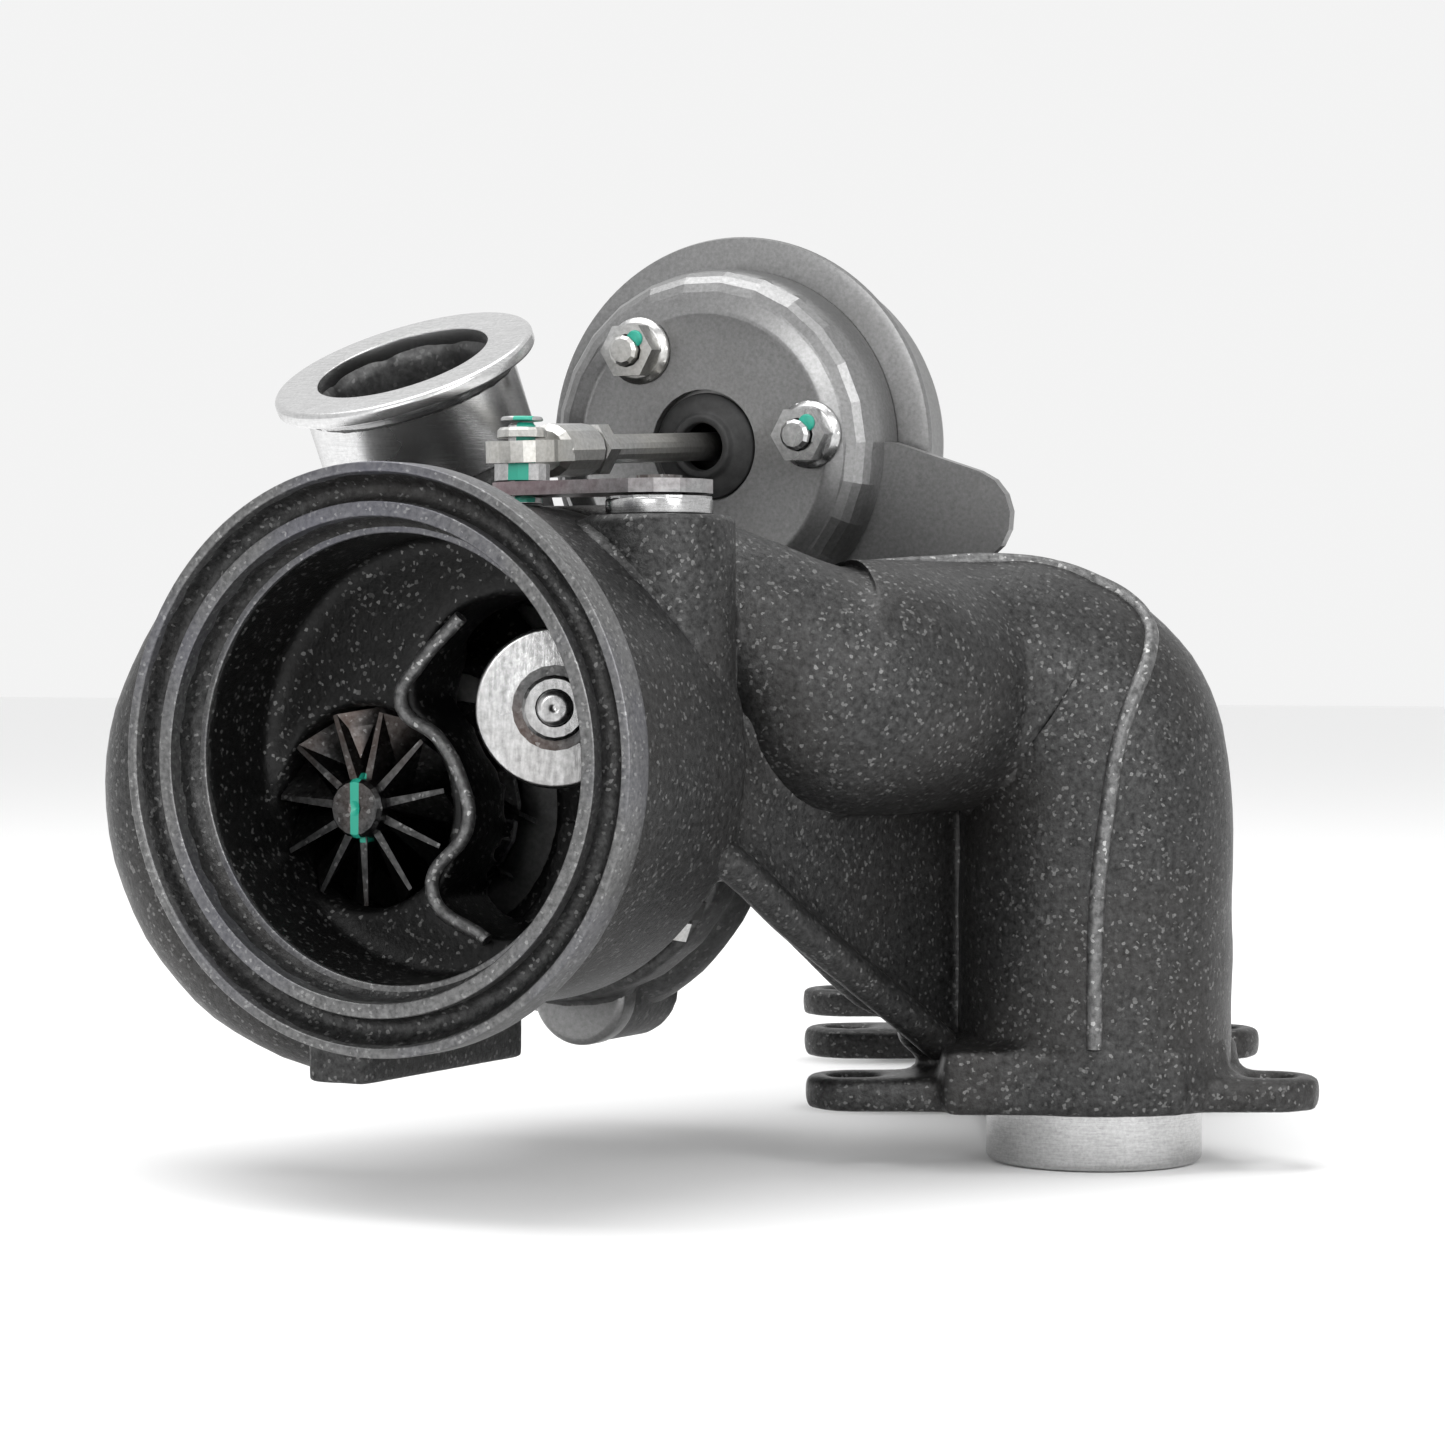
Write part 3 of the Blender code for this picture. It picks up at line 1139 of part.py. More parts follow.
def clamp_band():
    """V-band between the turbine housing and the centre housing, with its lugs and bolt."""
    outer = BAND_OUTER_R
    inner = CENTRE_FLANGE_R + 0.4
    lip = CENTRE_FLANGE_R - 1.6
    low = BAND_LOW_Y
    high = TURBINE_END_Y + 5.2
    profile = [
        (outer, low), (outer, high), (lip, high), (lip, high - 1.2), (inner, high - 2.6),
        (inner, low + 2.6), (lip, low + 1.2), (lip, low),
    ]
    band = turned("clamp_band", profile, SHAFT, steps=26)
    lug_turn = (
        Matrix.Translation(Vector((SHAFT_X, 0, SHAFT_Z)) * MM)
        @ Matrix.Rotation(math.radians(-BAND_LUG_DEG), 4, "Y")
    )
    middle = TURBINE_END_Y - 0.4
    reach = outer + 9.0
    lugs = [
        box(f"band_lug_{k}", (inner + 1, middle - 4.6, z), (reach, middle + 4.6, z + 4.0), CUTTERS, lug_turn)
        for k, z in enumerate((1.2, -5.2))
    ]
    join(band, *lugs)
    cut(band, box("band_split", (lip - 4, low - 2, -2.0), (reach + 2, high + 2, 2.0), CUTTERS, lug_turn))
    hole = disc("band_bolt_hole", 2.5, -9, 9, (outer + 4.9, middle, 0), ALONG_Z, 16, CUTTERS)
    hole.data.transform(lug_turn)
    cut(band, hole)
    dress(band, PRESSED_STEEL)
    bolt = turned(
        "clamp_band_bolt",
        [(0, -9.5), (2.2, -9.5), (2.2, 5.5), (4.3, 5.5), (4.3, 8.6), (0, 8.6)],
        (outer + 4.9, middle, 0), ALONG_Z, 20,
    )
    bolt.data.transform(lug_turn)
    dress(bolt, ZINC_STEEL)
    nut = ring("clamp_band_nut", 4.8, 3.0, -9.0, -5.6, (outer + 4.9, middle, 0), ALONG_Z, 6)
    nut.data.transform(lug_turn)
    dress(nut, ZINC_STEEL)



# ---------------------------------------------------------------- compressor end

COVER_BACK_Y = CENTRE_END_Y - 2.0
BACKPLATE_Y = COMPRESSOR_BACK_Y - 0.7


def backplate():
    start = CENTRE_END_Y + GAP
    dress(ring("compressor_backplate", BACKPLATE_R - 2.5 - GAP, 7.3, start, BACKPLATE_Y, SHAFT, steps=20),
          CAST_ALUMINIUM)
    dress(ring("compressor_snap_ring", BACKPLATE_R - 2.5 - GAP, BACKPLATE_R - 5.4, start - 1.7,
               start - GAP, SHAFT, steps=20), SPRING_STEEL)


# Compressor scroll: (clockwise angle seen from the outlet, centre radius, outer radius).
COVER_STATIONS = [
    (-40, 29.0, 5.0), (0, 29.5, 6.0), (45, 30.5, 8.0), (90, 32.0, 11.5), (135, 32.5, 14.0),
    (180, 32.5, 16.0),
]


def cover_path():
    """Scroll, then the neck that rises on the far side and leans towards the exhaust outlet."""
    points = []
    for angle, centre_r, outer_r in smooth(COVER_STATIONS, 2):
        turn = math.radians(angle)
        points.append((SHAFT_X + centre_r * math.cos(turn), COVER_SCROLL_Y,
                       SHAFT_Z - centre_r * math.sin(turn), outer_r))
    lean = Vector(SPOUT_LEAN).normalized()
    tip = Vector(SPOUT_TIP)
    bend = [
        points[-1],
        (points[-1][0] + 0.4, COVER_SCROLL_Y - 0.8, SHAFT_Z + 18, 17.0),
        (*(tip - lean * 42), SPOUT_R - 2.0),
        (*(tip - lean * 30), SPOUT_R - 0.3),
        (*(tip - lean * 19), SPOUT_R + 0.6),
    ]
    return points + smooth(bend, 3)[1:]


def compressor_cover():
    """Cast cover: scroll, inlet neck, and the leaning outlet with its machined flange."""
    rim = BACKPLATE_R + 1.0
    profile = [
        (0, COVER_BACK_Y), (rim, COVER_BACK_Y), (rim, COVER_BACK_Y + 9), (31, COVER_SCROLL_Y + 3),
        (27, COVER_SCROLL_Y + 12), (INLET_R, COVER_SCROLL_Y + 16), (INLET_R, INLET_END_Y - 5),
        (INLET_R + 1.4, INLET_END_Y - 3.6), (INLET_R + 1.4, INLET_END_Y - 2), (INLET_R, INLET_END_Y),
        (0, INLET_END_Y),
    ]
    cover = turned("compressor_cover", profile, SHAFT, steps=24)
    path = cover_path()
    lean = Vector(SPOUT_LEAN).normalized()
    tip = Vector(SPOUT_TIP)
    spout = turned("spout", [
        (0, -24), (SPOUT_R, -24), (SPOUT_R, -5.2), (SPOUT_R + 2.2, -3.6), (SPOUT_FLANGE_R, -2.6),
        (SPOUT_FLANGE_R, -0.6), (SPOUT_FLANGE_R - 0.6, 0), (0, 0),
    ], tip, lean, 28, CUTTERS)
    lobe = disc("lower_lobe", 10.0, COVER_SCROLL_Y - 13, COVER_SCROLL_Y + 10,
                (SHAFT_X + 1.8, 0, SHAFT_Z - 37.5), steps=20, group=CUTTERS)
    joined = [gas_tube("cover_scroll", path), spout, lobe]
    for k, (x, z) in enumerate(LEG_BOLTS):
        boss = [(0, FACE + TAB_Y - 18), (6.8, FACE + TAB_Y - 18), (6.8, FACE + TAB_Y - GAP - TAB_THICKNESS),
                (0, FACE + TAB_Y - GAP - TAB_THICKNESS)]
        joined.append(along_rod(f"cover_boss_{k + 1}", boss, None, x, z, 14, CUTTERS))
    join(cover, *joined)
    wall = 3.2
    inner = [(*p[:3], max(p[3] - wall, 2.0)) for p in path[::2]]
    inner += [(*(tip - lean * 8), SPOUT_BORE_R), (*(tip + lean * 2), SPOUT_BORE_R)]
    cut(cover, gas_tube("cover_passage", inner, sides=2))
    mouth = turned("spout_mouth", [(0, -3.5), (SPOUT_BORE_R, -3.5), (SPOUT_BORE_R + 1.8, 1), (0, 1)],
                   tip, lean, 20, CUTTERS)
    eye = COMPRESSOR_EYE_R + TIP_CLEARANCE
    tipped = COMPRESSOR_R + TIP_CLEARANCE
    back = COMPRESSOR_BACK_Y
    bore = [
        (0, COVER_BACK_Y - 2), (BACKPLATE_R - 2.5, COVER_BACK_Y - 2), (BACKPLATE_R - 2.5, BACKPLATE_Y + GAP),
        (COVER_SLOT_R + 3, BACKPLATE_Y + GAP), (COVER_SLOT_R + 3, back + 3.2),
        (COVER_SLOT_R + 1, back + 5), (COVER_SLOT_R + 1, COVER_SCROLL_Y),
        (COVER_SLOT_R - 2, COVER_SCROLL_Y), (COVER_SLOT_R - 2, back + 2.7), (tipped, back + 2.7),
        (tipped, back + 4.2), (COMPRESSOR_R - 3.7, back + 8.8), (eye, back + 18.5), (eye, INLET_END_Y - 24),
        (INLET_BORE_R, INLET_END_Y - 15), (INLET_BORE_R, INLET_END_Y + 2), (0, INLET_END_Y + 2),
    ]
    cut(cover, mouth, turned("impeller_bore", bore, SHAFT, steps=32, group=CUTTERS))
    hole = [(0, FACE + TAB_Y - 17), (3.0, FACE + TAB_Y - 17), (3.0, FACE + TAB_Y + 4), (0, FACE + TAB_Y + 4)]
    cut(cover, *[
        along_rod(f"cover_boss_hole_{k + 1}", hole, None, x, z, 16, CUTTERS)
        for k, (x, z) in enumerate(LEG_BOLTS)
    ])
    dress(cover, CAST_ALUMINIUM)


COVER_SLOT_R = COMPRESSOR_R + 7.5


def main():
    turbine_housing()
    port_sleeves()
    turbine_wheel()
    compressor_wheel()
    compressor_nut()
    bearings()
    piston_rings()
    wastegate_bushing()
    gate_shaft()
    flap()
    lever()
    lever_pin()
    rod_end()
    rod_and_piston()
    actuator_bracket()
    actuator_can()
    rod_boot()
    studs_and_nuts()
    bracket_bolts()
    heat_shield()
    centre_housing()
    clamp_band()
    backplate()
    compressor_cover()


main()
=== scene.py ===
import bpy, bmesh, math
from mathutils import Vector, Matrix, noise


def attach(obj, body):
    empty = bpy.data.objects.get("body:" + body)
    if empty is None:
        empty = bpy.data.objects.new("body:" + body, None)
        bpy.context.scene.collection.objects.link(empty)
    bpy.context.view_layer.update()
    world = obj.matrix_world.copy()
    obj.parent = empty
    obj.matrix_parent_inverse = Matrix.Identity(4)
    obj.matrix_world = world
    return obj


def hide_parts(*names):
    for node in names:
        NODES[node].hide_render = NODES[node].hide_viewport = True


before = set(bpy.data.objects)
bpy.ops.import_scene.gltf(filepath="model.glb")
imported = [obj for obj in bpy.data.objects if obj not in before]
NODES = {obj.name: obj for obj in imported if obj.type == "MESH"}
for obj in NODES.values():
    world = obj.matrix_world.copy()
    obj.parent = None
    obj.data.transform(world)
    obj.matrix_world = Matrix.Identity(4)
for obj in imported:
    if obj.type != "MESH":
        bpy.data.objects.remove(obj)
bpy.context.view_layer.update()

MM = 0.001
SHAFT = Vector((-72.4, 0, 56.9))
OUTLET = Vector((-54.4, -171.1, 66.0))
ROD_DIR = Vector((-0.0488, 0.9969, 0.0610)).normalized()
PIN = Vector((-52.25, -125.77, 119.0))
ROD_X = Vector((0.9988, 0.0488, 0.0))
ROD_Z = Vector((0.003, -0.0609, 0.9981)).normalized()
SPOUT_TIP = Vector((-104.0, -84.0, 139.3))
SPOUT_DIR = Vector((-0.0605, -0.44, 0.896)).normalized()
GATE_TURN = Matrix.Rotation(math.radians(28.0), 4, "Z")
GATE_AXIS = Vector((-25.7, -124.1, 0.0))
SEAT = Vector((-43.251, -127.737, 74.4))
SCROLL_Y = -124.0
COVER_WAY_Y = -62.0
DIVIDER_Y = -147.0
# painted shade inside the outlet bore: reach from the outlet axis, start along Y and strength of the near-black
# colour
BORE_SHADE_REACH = 37.9
BORE_SHADE_START_Y = -108.0
BORE_SHADE_DEPTH = 0.8


# ------------------------------------------------------------------ node helpers
class Net:
    """Short-hand for building a node tree."""

    def __init__(self, tree):
        self.tree = tree

    def add(self, kind, inputs=None, **settings):
        node = self.tree.nodes.new(kind)
        for key, value in settings.items():
            setattr(node, key, value)
        for key, value in (inputs or {}).items():
            if isinstance(value, bpy.types.NodeSocket):
                self.tree.links.new(value, node.inputs[key])
            else:
                node.inputs[key].default_value = value
        return node

    def ramp(self, value, *stops):
        node = self.add("ShaderNodeValToRGB", {"Fac": value})
        points = node.color_ramp.elements
        while len(points) < len(stops):
            points.new(0.5)
        for point, (place, color) in zip(points, stops):
            point.position = place
            point.color = (*color, 1) if isinstance(color, tuple) else (color, color, color, 1)
        return node.outputs["Color"]

    def mix(self, factor, a, b, kind="MIX"):
        node = self.add("ShaderNodeMix", data_type="RGBA", blend_type=kind)
        for key, value in ((0, factor), (6, a), (7, b)):
            if isinstance(value, bpy.types.NodeSocket):
                self.tree.links.new(value, node.inputs[key])
            else:
                node.inputs[key].default_value = value
        return node.outputs[2]

    def math(self, operation, a, b=0.0):
        return self.add("ShaderNodeMath", {0: a, 1: b}, operation=operation).outputs[0]


def shared(name, inputs, outputs, build):
    """A node group that gives masks, values or colours only."""
    tree = bpy.data.node_groups.new(name, "ShaderNodeTree")
    for key, kind, value in inputs:
        socket = tree.interface.new_socket(key, in_out="INPUT", socket_type=kind)
        if value is not None:
            socket.default_value = value
    for key, kind in outputs:
        tree.interface.new_socket(key, in_out="OUTPUT", socket_type=kind)
    net = Net(tree)
    start = net.add("NodeGroupInput")
    end = net.add("NodeGroupOutput")
    for key, value in build(net, start.outputs).items():
        tree.links.new(value, end.inputs[key])
    return tree


def grain_and_glint_group():
    """Speckle and slow stain of a rough or worn metal skin, with a mask of painted glints (bright dots of painted
    highlight).
    """
    def build(net, given):
        place = net.add("ShaderNodeTexCoord").outputs["Object"]
        fine = net.add("ShaderNodeTexNoise", {"Vector": place, "Scale": given["Scale"], "Detail": 6.0,
                                              "Roughness": 0.65}).outputs["Fac"]
        slow = net.add("ShaderNodeTexNoise", {"Vector": place, "Scale": 28.0, "Detail": 4.0}).outputs["Fac"]
        cells = net.add("ShaderNodeTexVoronoi", {"Vector": place, "Scale": net.math(
            "MULTIPLY", given["Scale"], 2.0)}).outputs["Color"]
        # painted highlight: the brightest cells become dots of painted glint
        pick = net.add("ShaderNodeSeparateColor", {"Color": cells}).outputs[0]
        painted_glint = net.add("ShaderNodeMapRange", {"Value": pick, 1: 0.90, 2: 1.0}).outputs[0]
        return {"Fine": fine, "Slow": slow, "PaintedGlint": painted_glint}
    return shared("metal_grain_and_glint", [("Scale", "NodeSocketFloat", 900.0)],
                  [("Fine", "NodeSocketFloat"), ("Slow", "NodeSocketFloat"), ("PaintedGlint", "NodeSocketFloat")],
                  build)


GRAIN_AND_GLINT = grain_and_glint_group()


def metal(name, dark, light, rough, metallic=1.0, scale=900.0, bump=0.1, painted_glint=0.0, stain=None,
          amount=0.0, brushed=None, paint=None):
    """Metal with grain, stain, painted glints and optional brushed rings or a paint mark (centre, radius, stripe
    half); cast_iron also gets painted shade inside the outlet bore.
    """
    item = bpy.data.materials.new(name)
    item.use_nodes = True
    net = Net(item.node_tree)
    surface = item.node_tree.nodes["Principled BSDF"]
    grain = net.add("ShaderNodeGroup", {"Scale": scale}, node_tree=GRAIN_AND_GLINT).outputs
    color = net.ramp(grain["Fine"], (0.3, dark), (0.7, light))
    if stain:
        mask = net.ramp(grain["Slow"], (0.45, 0.0), (0.72, amount))
        color = net.mix(mask, color, (*stain, 1))
    # painted shade: the cast iron turns near black deep inside the outlet bore, where shade falls
    if name == "cast_iron":
        place = net.add("ShaderNodeTexCoord").outputs["Object"]
        parts = net.add("ShaderNodeSeparateXYZ", {0: place}).outputs
        flat = net.add("ShaderNodeCombineXYZ", {
            "X": net.math("SUBTRACT", parts["X"], OUTLET.x * MM),
            "Z": net.math("SUBTRACT", parts["Z"], OUTLET.z * MM)}).outputs[0]
        reach = net.add("ShaderNodeVectorMath", {0: flat}, operation="LENGTH").outputs["Value"]
        inside = net.math("LESS_THAN", reach, BORE_SHADE_REACH * MM)
        fore = net.math("LESS_THAN", parts["Y"], BORE_SHADE_START_Y * MM)
        bore_shade = net.math("MULTIPLY", net.math("MULTIPLY", inside, fore), BORE_SHADE_DEPTH)
        color = net.mix(bore_shade, color, (0.003, 0.003, 0.003, 1))
    # painted glints: bright grey dots mixed into the base colour as highlight
    if painted_glint:
        lift = net.math("MULTIPLY", grain["PaintedGlint"], painted_glint)
        color = net.mix(lift, color, (0.75, 0.75, 0.74, 1))
    height = grain["Fine"]
    if brushed:
        place = net.add("ShaderNodeTexCoord").outputs["Object"]
        stretch = net.add("ShaderNodeMapping", {"Vector": place, "Scale": brushed}).outputs[0]
        lines = net.add("ShaderNodeTexNoise", {"Vector": stretch, "Scale": 300.0,
                                               "Detail": 3.0}).outputs["Fac"]
        color = net.mix(0.35, color, net.ramp(lines, (0.35, dark), (0.65, light)))
        height = net.math("ADD", height, lines)
    roughness = net.math("ADD", net.math("MULTIPLY", grain["Slow"], 0.22), rough - 0.11)
    metal_value = metallic
    if paint:
        centre, reach, half = paint
        place = net.add("ShaderNodeTexCoord").outputs["Object"]
        moved = net.add("ShaderNodeVectorMath", {0: place, 1: tuple(c * MM for c in centre)},
                        operation="SUBTRACT").outputs[0]
        parts = net.add("ShaderNodeSeparateXYZ", {0: moved}).outputs
        ragged = net.math("MULTIPLY", grain["Slow"], half * MM * 1.6)
        side = net.math("LESS_THAN", net.math("ABSOLUTE", parts["X"]), ragged)
        upper = net.math("LESS_THAN", net.math("ABSOLUTE", parts["Z"]), reach * MM)
        mask = net.math("MULTIPLY", side, upper)
        color = net.mix(mask, color, (0.02, 0.34, 0.24, 1))
        metal_value = net.math("SUBTRACT", metallic, net.math("MULTIPLY", mask, metallic))
    item.node_tree.links.new(color, surface.inputs["Base Color"])
    item.node_tree.links.new(roughness, surface.inputs["Roughness"])
    if paint:
        item.node_tree.links.new(metal_value, surface.inputs["Metallic"])
    else:
        surface.inputs["Metallic"].default_value = metallic
    relief = net.add("ShaderNodeBump", {"Strength": 0.55, "Distance": bump * MM, "Height": height})
    item.node_tree.links.new(relief.outputs[0], surface.inputs["Normal"])
    return item


CAST = metal("cast_iron", 0.008, 0.060, 0.40, 0.65, 900.0, 0.36, 0.16, (0.035, 0.032, 0.030), 0.5)
RIM_METAL = metal("rim_iron", 0.075, 0.20, 0.40, 0.8, 1100.0, 0.08, 0.22, (0.10, 0.10, 0.14), 0.5)
# painted highlight: a lighter, glinting copy of the cast iron for raised ridges that catch the light
RIDGE_HIGHLIGHT_IRON = metal("ridge_iron_painted_highlight", 0.05, 0.20, 0.42, 0.7, 800.0, 0.30, 0.5)
SATIN = metal("satin_steel", 0.20, 0.30, 0.36, 0.95, 1400.0, 0.02, 0.0, (0.17, 0.165, 0.16), 0.4)
BRIGHT = metal("bright_steel", 0.34, 0.58, 0.24, 1.0, 1500.0, 0.02, 0.0, (0.4, 0.39, 0.38), 0.3, (1, 1, 14))
ZINC = metal("zinc_steel", 0.34, 0.56, 0.30, 1.0, 1200.0, 0.03, 0.0, (0.62, 0.58, 0.45), 0.3)
ZINC_MARKED = metal("zinc_marked", 0.34, 0.56, 0.30, 1.0, 1200.0, 0.03, paint=((-50.5, -127, 119), 9, 1.6))
ALUMINIUM = metal("machined_aluminium", 0.48, 0.74, 0.24, 1.0, 1300.0, 0.02, 0.0, (0.5, 0.5, 0.52), 0.25,
                  (1, 1, 20))
# painted shade: the compressor cover's cast aluminium gets a dark grey base colour for the shade it sits in
SHADED_CAST_ALU = metal("cast_aluminium", 0.05, 0.13, 0.48, 0.8, 700.0, 0.2, 0.12, (0.10, 0.10, 0.10), 0.5)
FLAP_METAL = metal("flap_steel", 0.25, 0.66, 0.28, 1.0, 900.0, 0.05, 0.0, (0.25, 0.22, 0.2), 0.4, (6, 1, 1))
DARK_ALLOY = metal("dark_alloy", 0.05, 0.16, 0.38, 0.95, 900.0, 0.05, 0.2, (0.16, 0.07, 0.04), 0.5)
HEAT_TINT = metal("heat_tint", 0.20, 0.42, 0.3, 1.0, 700.0, 0.03, 0.0, (0.20, 0.10, 0.12), 0.8)
WHEEL_FACE = metal("wheel_face", 0.03, 0.12, 0.34, 1.0, 900.0, 0.04, 0.2, (0.2, 0.09, 0.05), 0.4,
                   paint=((-72.4, -146, 56.9), 6.0, 1.1))
BRONZE = metal("bearing_bronze", (0.45, 0.30, 0.14), (0.62, 0.45, 0.24), 0.35)
RUBBER = metal("rubber", 0.012, 0.03, 0.62, 0.0, 500.0, 0.06)
SPRING = metal("spring_steel", 0.2, 0.34, 0.35)


# ------------------------------------------------------------------ shape helpers
def frame_of(direction):
    return Vector(direction).normalized().to_track_quat("Z", "Y").to_matrix().to_4x4()


def lathe(name, profile, base, direction, body, material, steps=96, matrix=None):
    """Closed profile of (radius, distance) turned round an axis, as a fine mesh."""
    work = bmesh.new()
    turn = frame_of(direction)
    place = Matrix.Translation(Vector(base)) @ turn
    if matrix:
        place = matrix @ place
    rings = []
    for radius, along in profile:
        if radius < 1e-6:
            rings.append([work.verts.new(place @ Vector((0, 0, along)) * MM)])
        else:
            rings.append([
                work.verts.new(place @ Vector((radius * math.cos(a), radius * math.sin(a), along)) * MM)
                for a in (2 * math.pi * k / steps for k in range(steps))
            ])
    for a, b in zip(rings, rings[1:] + rings[:1]):
        if len(a) == 1 and len(b) == 1:
            continue
        for k in range(steps):
            n = (k + 1) % steps
            if len(a) == 1:
                work.faces.new((a[0], b[k], b[n]))
            elif len(b) == 1:
                work.faces.new((a[k], b[0], a[n]))
            else:
                work.faces.new((a[k], b[k], b[n], a[n]))
    bmesh.ops.recalc_face_normals(work, faces=work.faces)
    return place_mesh(name, work, body, material)


def place_mesh(name, work, body, material, angle=32):
    mesh = bpy.data.meshes.new(name)
    work.to_mesh(mesh)
    work.free()
    mesh.shade_smooth()
    mesh.set_sharp_from_angle(angle=math.radians(angle))
    item = bpy.data.objects.new(name, mesh)
    bpy.context.scene.collection.objects.link(item)
    mesh.materials.append(material)
    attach(item, body)
    return item


def rounded(points, cut=0.4, steps=3):
    """Rounds each corner of a closed profile that is off the axis."""
    result = []
    count = len(points)
    for k, point in enumerate(points):
        before, here, after = (Vector(points[(k + j) % count]) for j in (-1, 0, 1))
        if here.x < 1e-6 or (before - here).length < 0.15 or (after - here).length < 0.15:
            result.append(tuple(here))
            continue
        size = min(cut, (before - here).length * 0.4, (after - here).length * 0.4)
        a = here + (before - here).normalized() * size
        b = here + (after - here).normalized() * size
        for j in range(steps + 1):
            t = j / steps
            result.append(tuple(a * (1 - t) ** 2 + here * 2 * t * (1 - t) + b * t * t))
    return result


def tube(name, points, radius, body, material, sides=6):
    curve = bpy.data.curves.new(name, "CURVE")
    curve.dimensions = "3D"
    curve.bevel_depth = radius * MM
    curve.bevel_resolution = sides
    curve.use_fill_caps = True
    path = curve.splines.new("BEZIER")
    path.bezier_points.add(len(points) - 1)
    for dot, point in zip(path.bezier_points, points):
        dot.co = Vector(point) * MM
        dot.handle_left_type = dot.handle_right_type = "AUTO"
    curve.materials.append(material)
    item = bpy.data.objects.new(name, curve)
    bpy.context.scene.collection.objects.link(item)
    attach(item, body)
    return item


def smooth(points, count):
    """Catmull-Rom curve through tuples of any length."""
    ends = [points[0]] + list(points) + [points[-1]]
    result = []
    for k in range(len(points) - 1):
        a, b, c, d = ends[k:k + 4]
        for i in range(count):
            t = i / count
            result.append(tuple(
                0.5 * (2 * q + (r - p) * t + (2 * p - 5 * q + 4 * r - s) * t ** 2
                       + (3 * q - p - 3 * r + s) * t ** 3)
                for p, q, r, s in zip(a, b, c, d)))
    return result + [tuple(points[-1])]


def duct(name, points, body, material, grow, hidden=(), sides=56, ripple=0.0):
    """Cast tube skin of changing radius, left out within reach of each hollow's axis along Y."""
    work = bmesh.new()
    centres = [Vector(p[:3]) for p in points]
    rings = []
    side = Vector((0, 1, 0))
    for k, centre in enumerate(centres):
        ahead = (centres[min(k + 1, len(centres) - 1)] - centres[max(k - 1, 0)]).normalized()
        side = (side - ahead * side.dot(ahead)).normalized()
        other = ahead.cross(side)
        ring = []
        for j in range(sides):
            a = 2 * math.pi * j / sides
            out = side * math.cos(a) + other * math.sin(a)
            spot = centre + out * (points[k][3] + grow)
            wave = noise.noise(spot * 0.09) * 0.35 + noise.noise(spot * 0.35) * 0.12
            wave += ripple * math.sin(k * 0.9)
            ring.append(work.verts.new((spot + out * (wave - 0.2)) * MM))
        rings.append(ring)
    for a, b in zip(rings, rings[1:]):
        for j in range(sides):
            n = (j + 1) % sides
            work.faces.new((a[j], a[n], b[n], b[j]))
    gone = []
    for vert in work.verts:
        spot = vert.co / MM
        for axis, low, high, reach in hidden:
            flat = Vector((spot.x - axis[0], spot.z - axis[1]))
            if low < spot.y < high and flat.length < reach:
                gone.append(vert)
                break
    bmesh.ops.delete(work, geom=gone, context="VERTS")
    bmesh.ops.recalc_face_normals(work, faces=work.faces)
    return place_mesh(name, work, body, material, 60)


def soften(node, material, width=0.35):
    """Keeps a CAD piece, with small rounds on its edges and a new skin."""
    item = NODES[node]
    item.data.materials.clear()
    item.data.materials.append(material)
    bevel = item.modifiers.new("edge", "BEVEL")
    bevel.width = width * MM
    bevel.segments = 2
    bevel.limit_method = "ANGLE"
    bevel.angle_limit = math.radians(40)
    bevel.harden_normals = False
    return item


def cast_copy(node, material, voxel, passes, wave=0.12, body="housing"):
    """A cast skin over a CAD piece: evened out, slightly wavy, with rounded inner corners."""
    source = NODES[node]
    item = bpy.data.objects.new(node + "_skin", source.data.copy())
    bpy.context.scene.collection.objects.link(item)
    item.data.materials.clear()
    item.data.materials.append(material)
    even = item.modifiers.new("even", "REMESH")
    even.mode = "VOXEL"
    even.voxel_size = voxel * MM
    even.use_smooth_shade = True
    calm = item.modifiers.new("calm", "SMOOTH")
    calm.factor = 0.5
    calm.iterations = passes
    clouds = bpy.data.textures.new(node + "_waves", "CLOUDS")
    clouds.noise_scale = 0.006
    bump = item.modifiers.new("waves", "DISPLACE")
    bump.texture = clouds
    bump.strength = wave * MM
    bump.mid_level = 0.9
    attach(item, body)
    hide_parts(node)
    return item


# ------------------------------------------------------------------ castings
cast_copy("turbine_housing_manifold", CAST, 1.0, 22)
# compressor cover skin, in cast aluminium darkened with painted shade
cast_copy("compressor_cover", SHADED_CAST_ALU, 0.9, 14)
cast_copy("centre_housing", CAST, 0.9, 4)

rim = rounded([
    (37.75, 6.5), (40.3, 6.5), (40.3, -0.05), (42.8, -0.05), (42.8, 4.4), (46.6, 4.4), (47.7, -0.05),
    (49.35, -0.05), (49.4, 6.35), (43.0, 9.8), (42.0, 9.8), (42.0, 7.6), (37.75, 7.6),
], 0.45)
lathe("outlet_rim", rim, OUTLET, (0, 1, 0), "housing", RIM_METAL, 128)

lathe("spout_machined", rounded([
    (16.9, 0.05), (25.0, 0.05), (25.6, -0.6), (25.6, -2.7), (22.6, -3.7), (20.7, -5.3), (20.7, -20.0),
    (19.6, -20.0), (19.6, -4.0), (17.0, -3.6)], 0.4), SPOUT_TIP, SPOUT_DIR, "housing", ALUMINIUM,
    96)
lathe("inlet_lip", rounded([
    (20.4, 0.05), (24.0, 0.05), (24.05, -2.0), (25.45, -2.4), (25.45, -3.6), (24.1, -5.0), (24.1, -9.0),
    (23.2, -9.0), (23.2, -1.0), (20.4, -1.0)], 0.3), (SHAFT.x, -20.0, SHAFT.z), (0, 1, 0), "housing",
    ALUMINIUM, 96)
lathe("lower_lobe_face", rounded([(0, -13.3), (9.2, -13.3), (10.1, -12.4), (10.1, -8), (0, -8)], 0.5),
      (SHAFT.x + 1.8, COVER_WAY_Y, SHAFT.z - 37.5), (0, 1, 0), "housing", SATIN, 64)

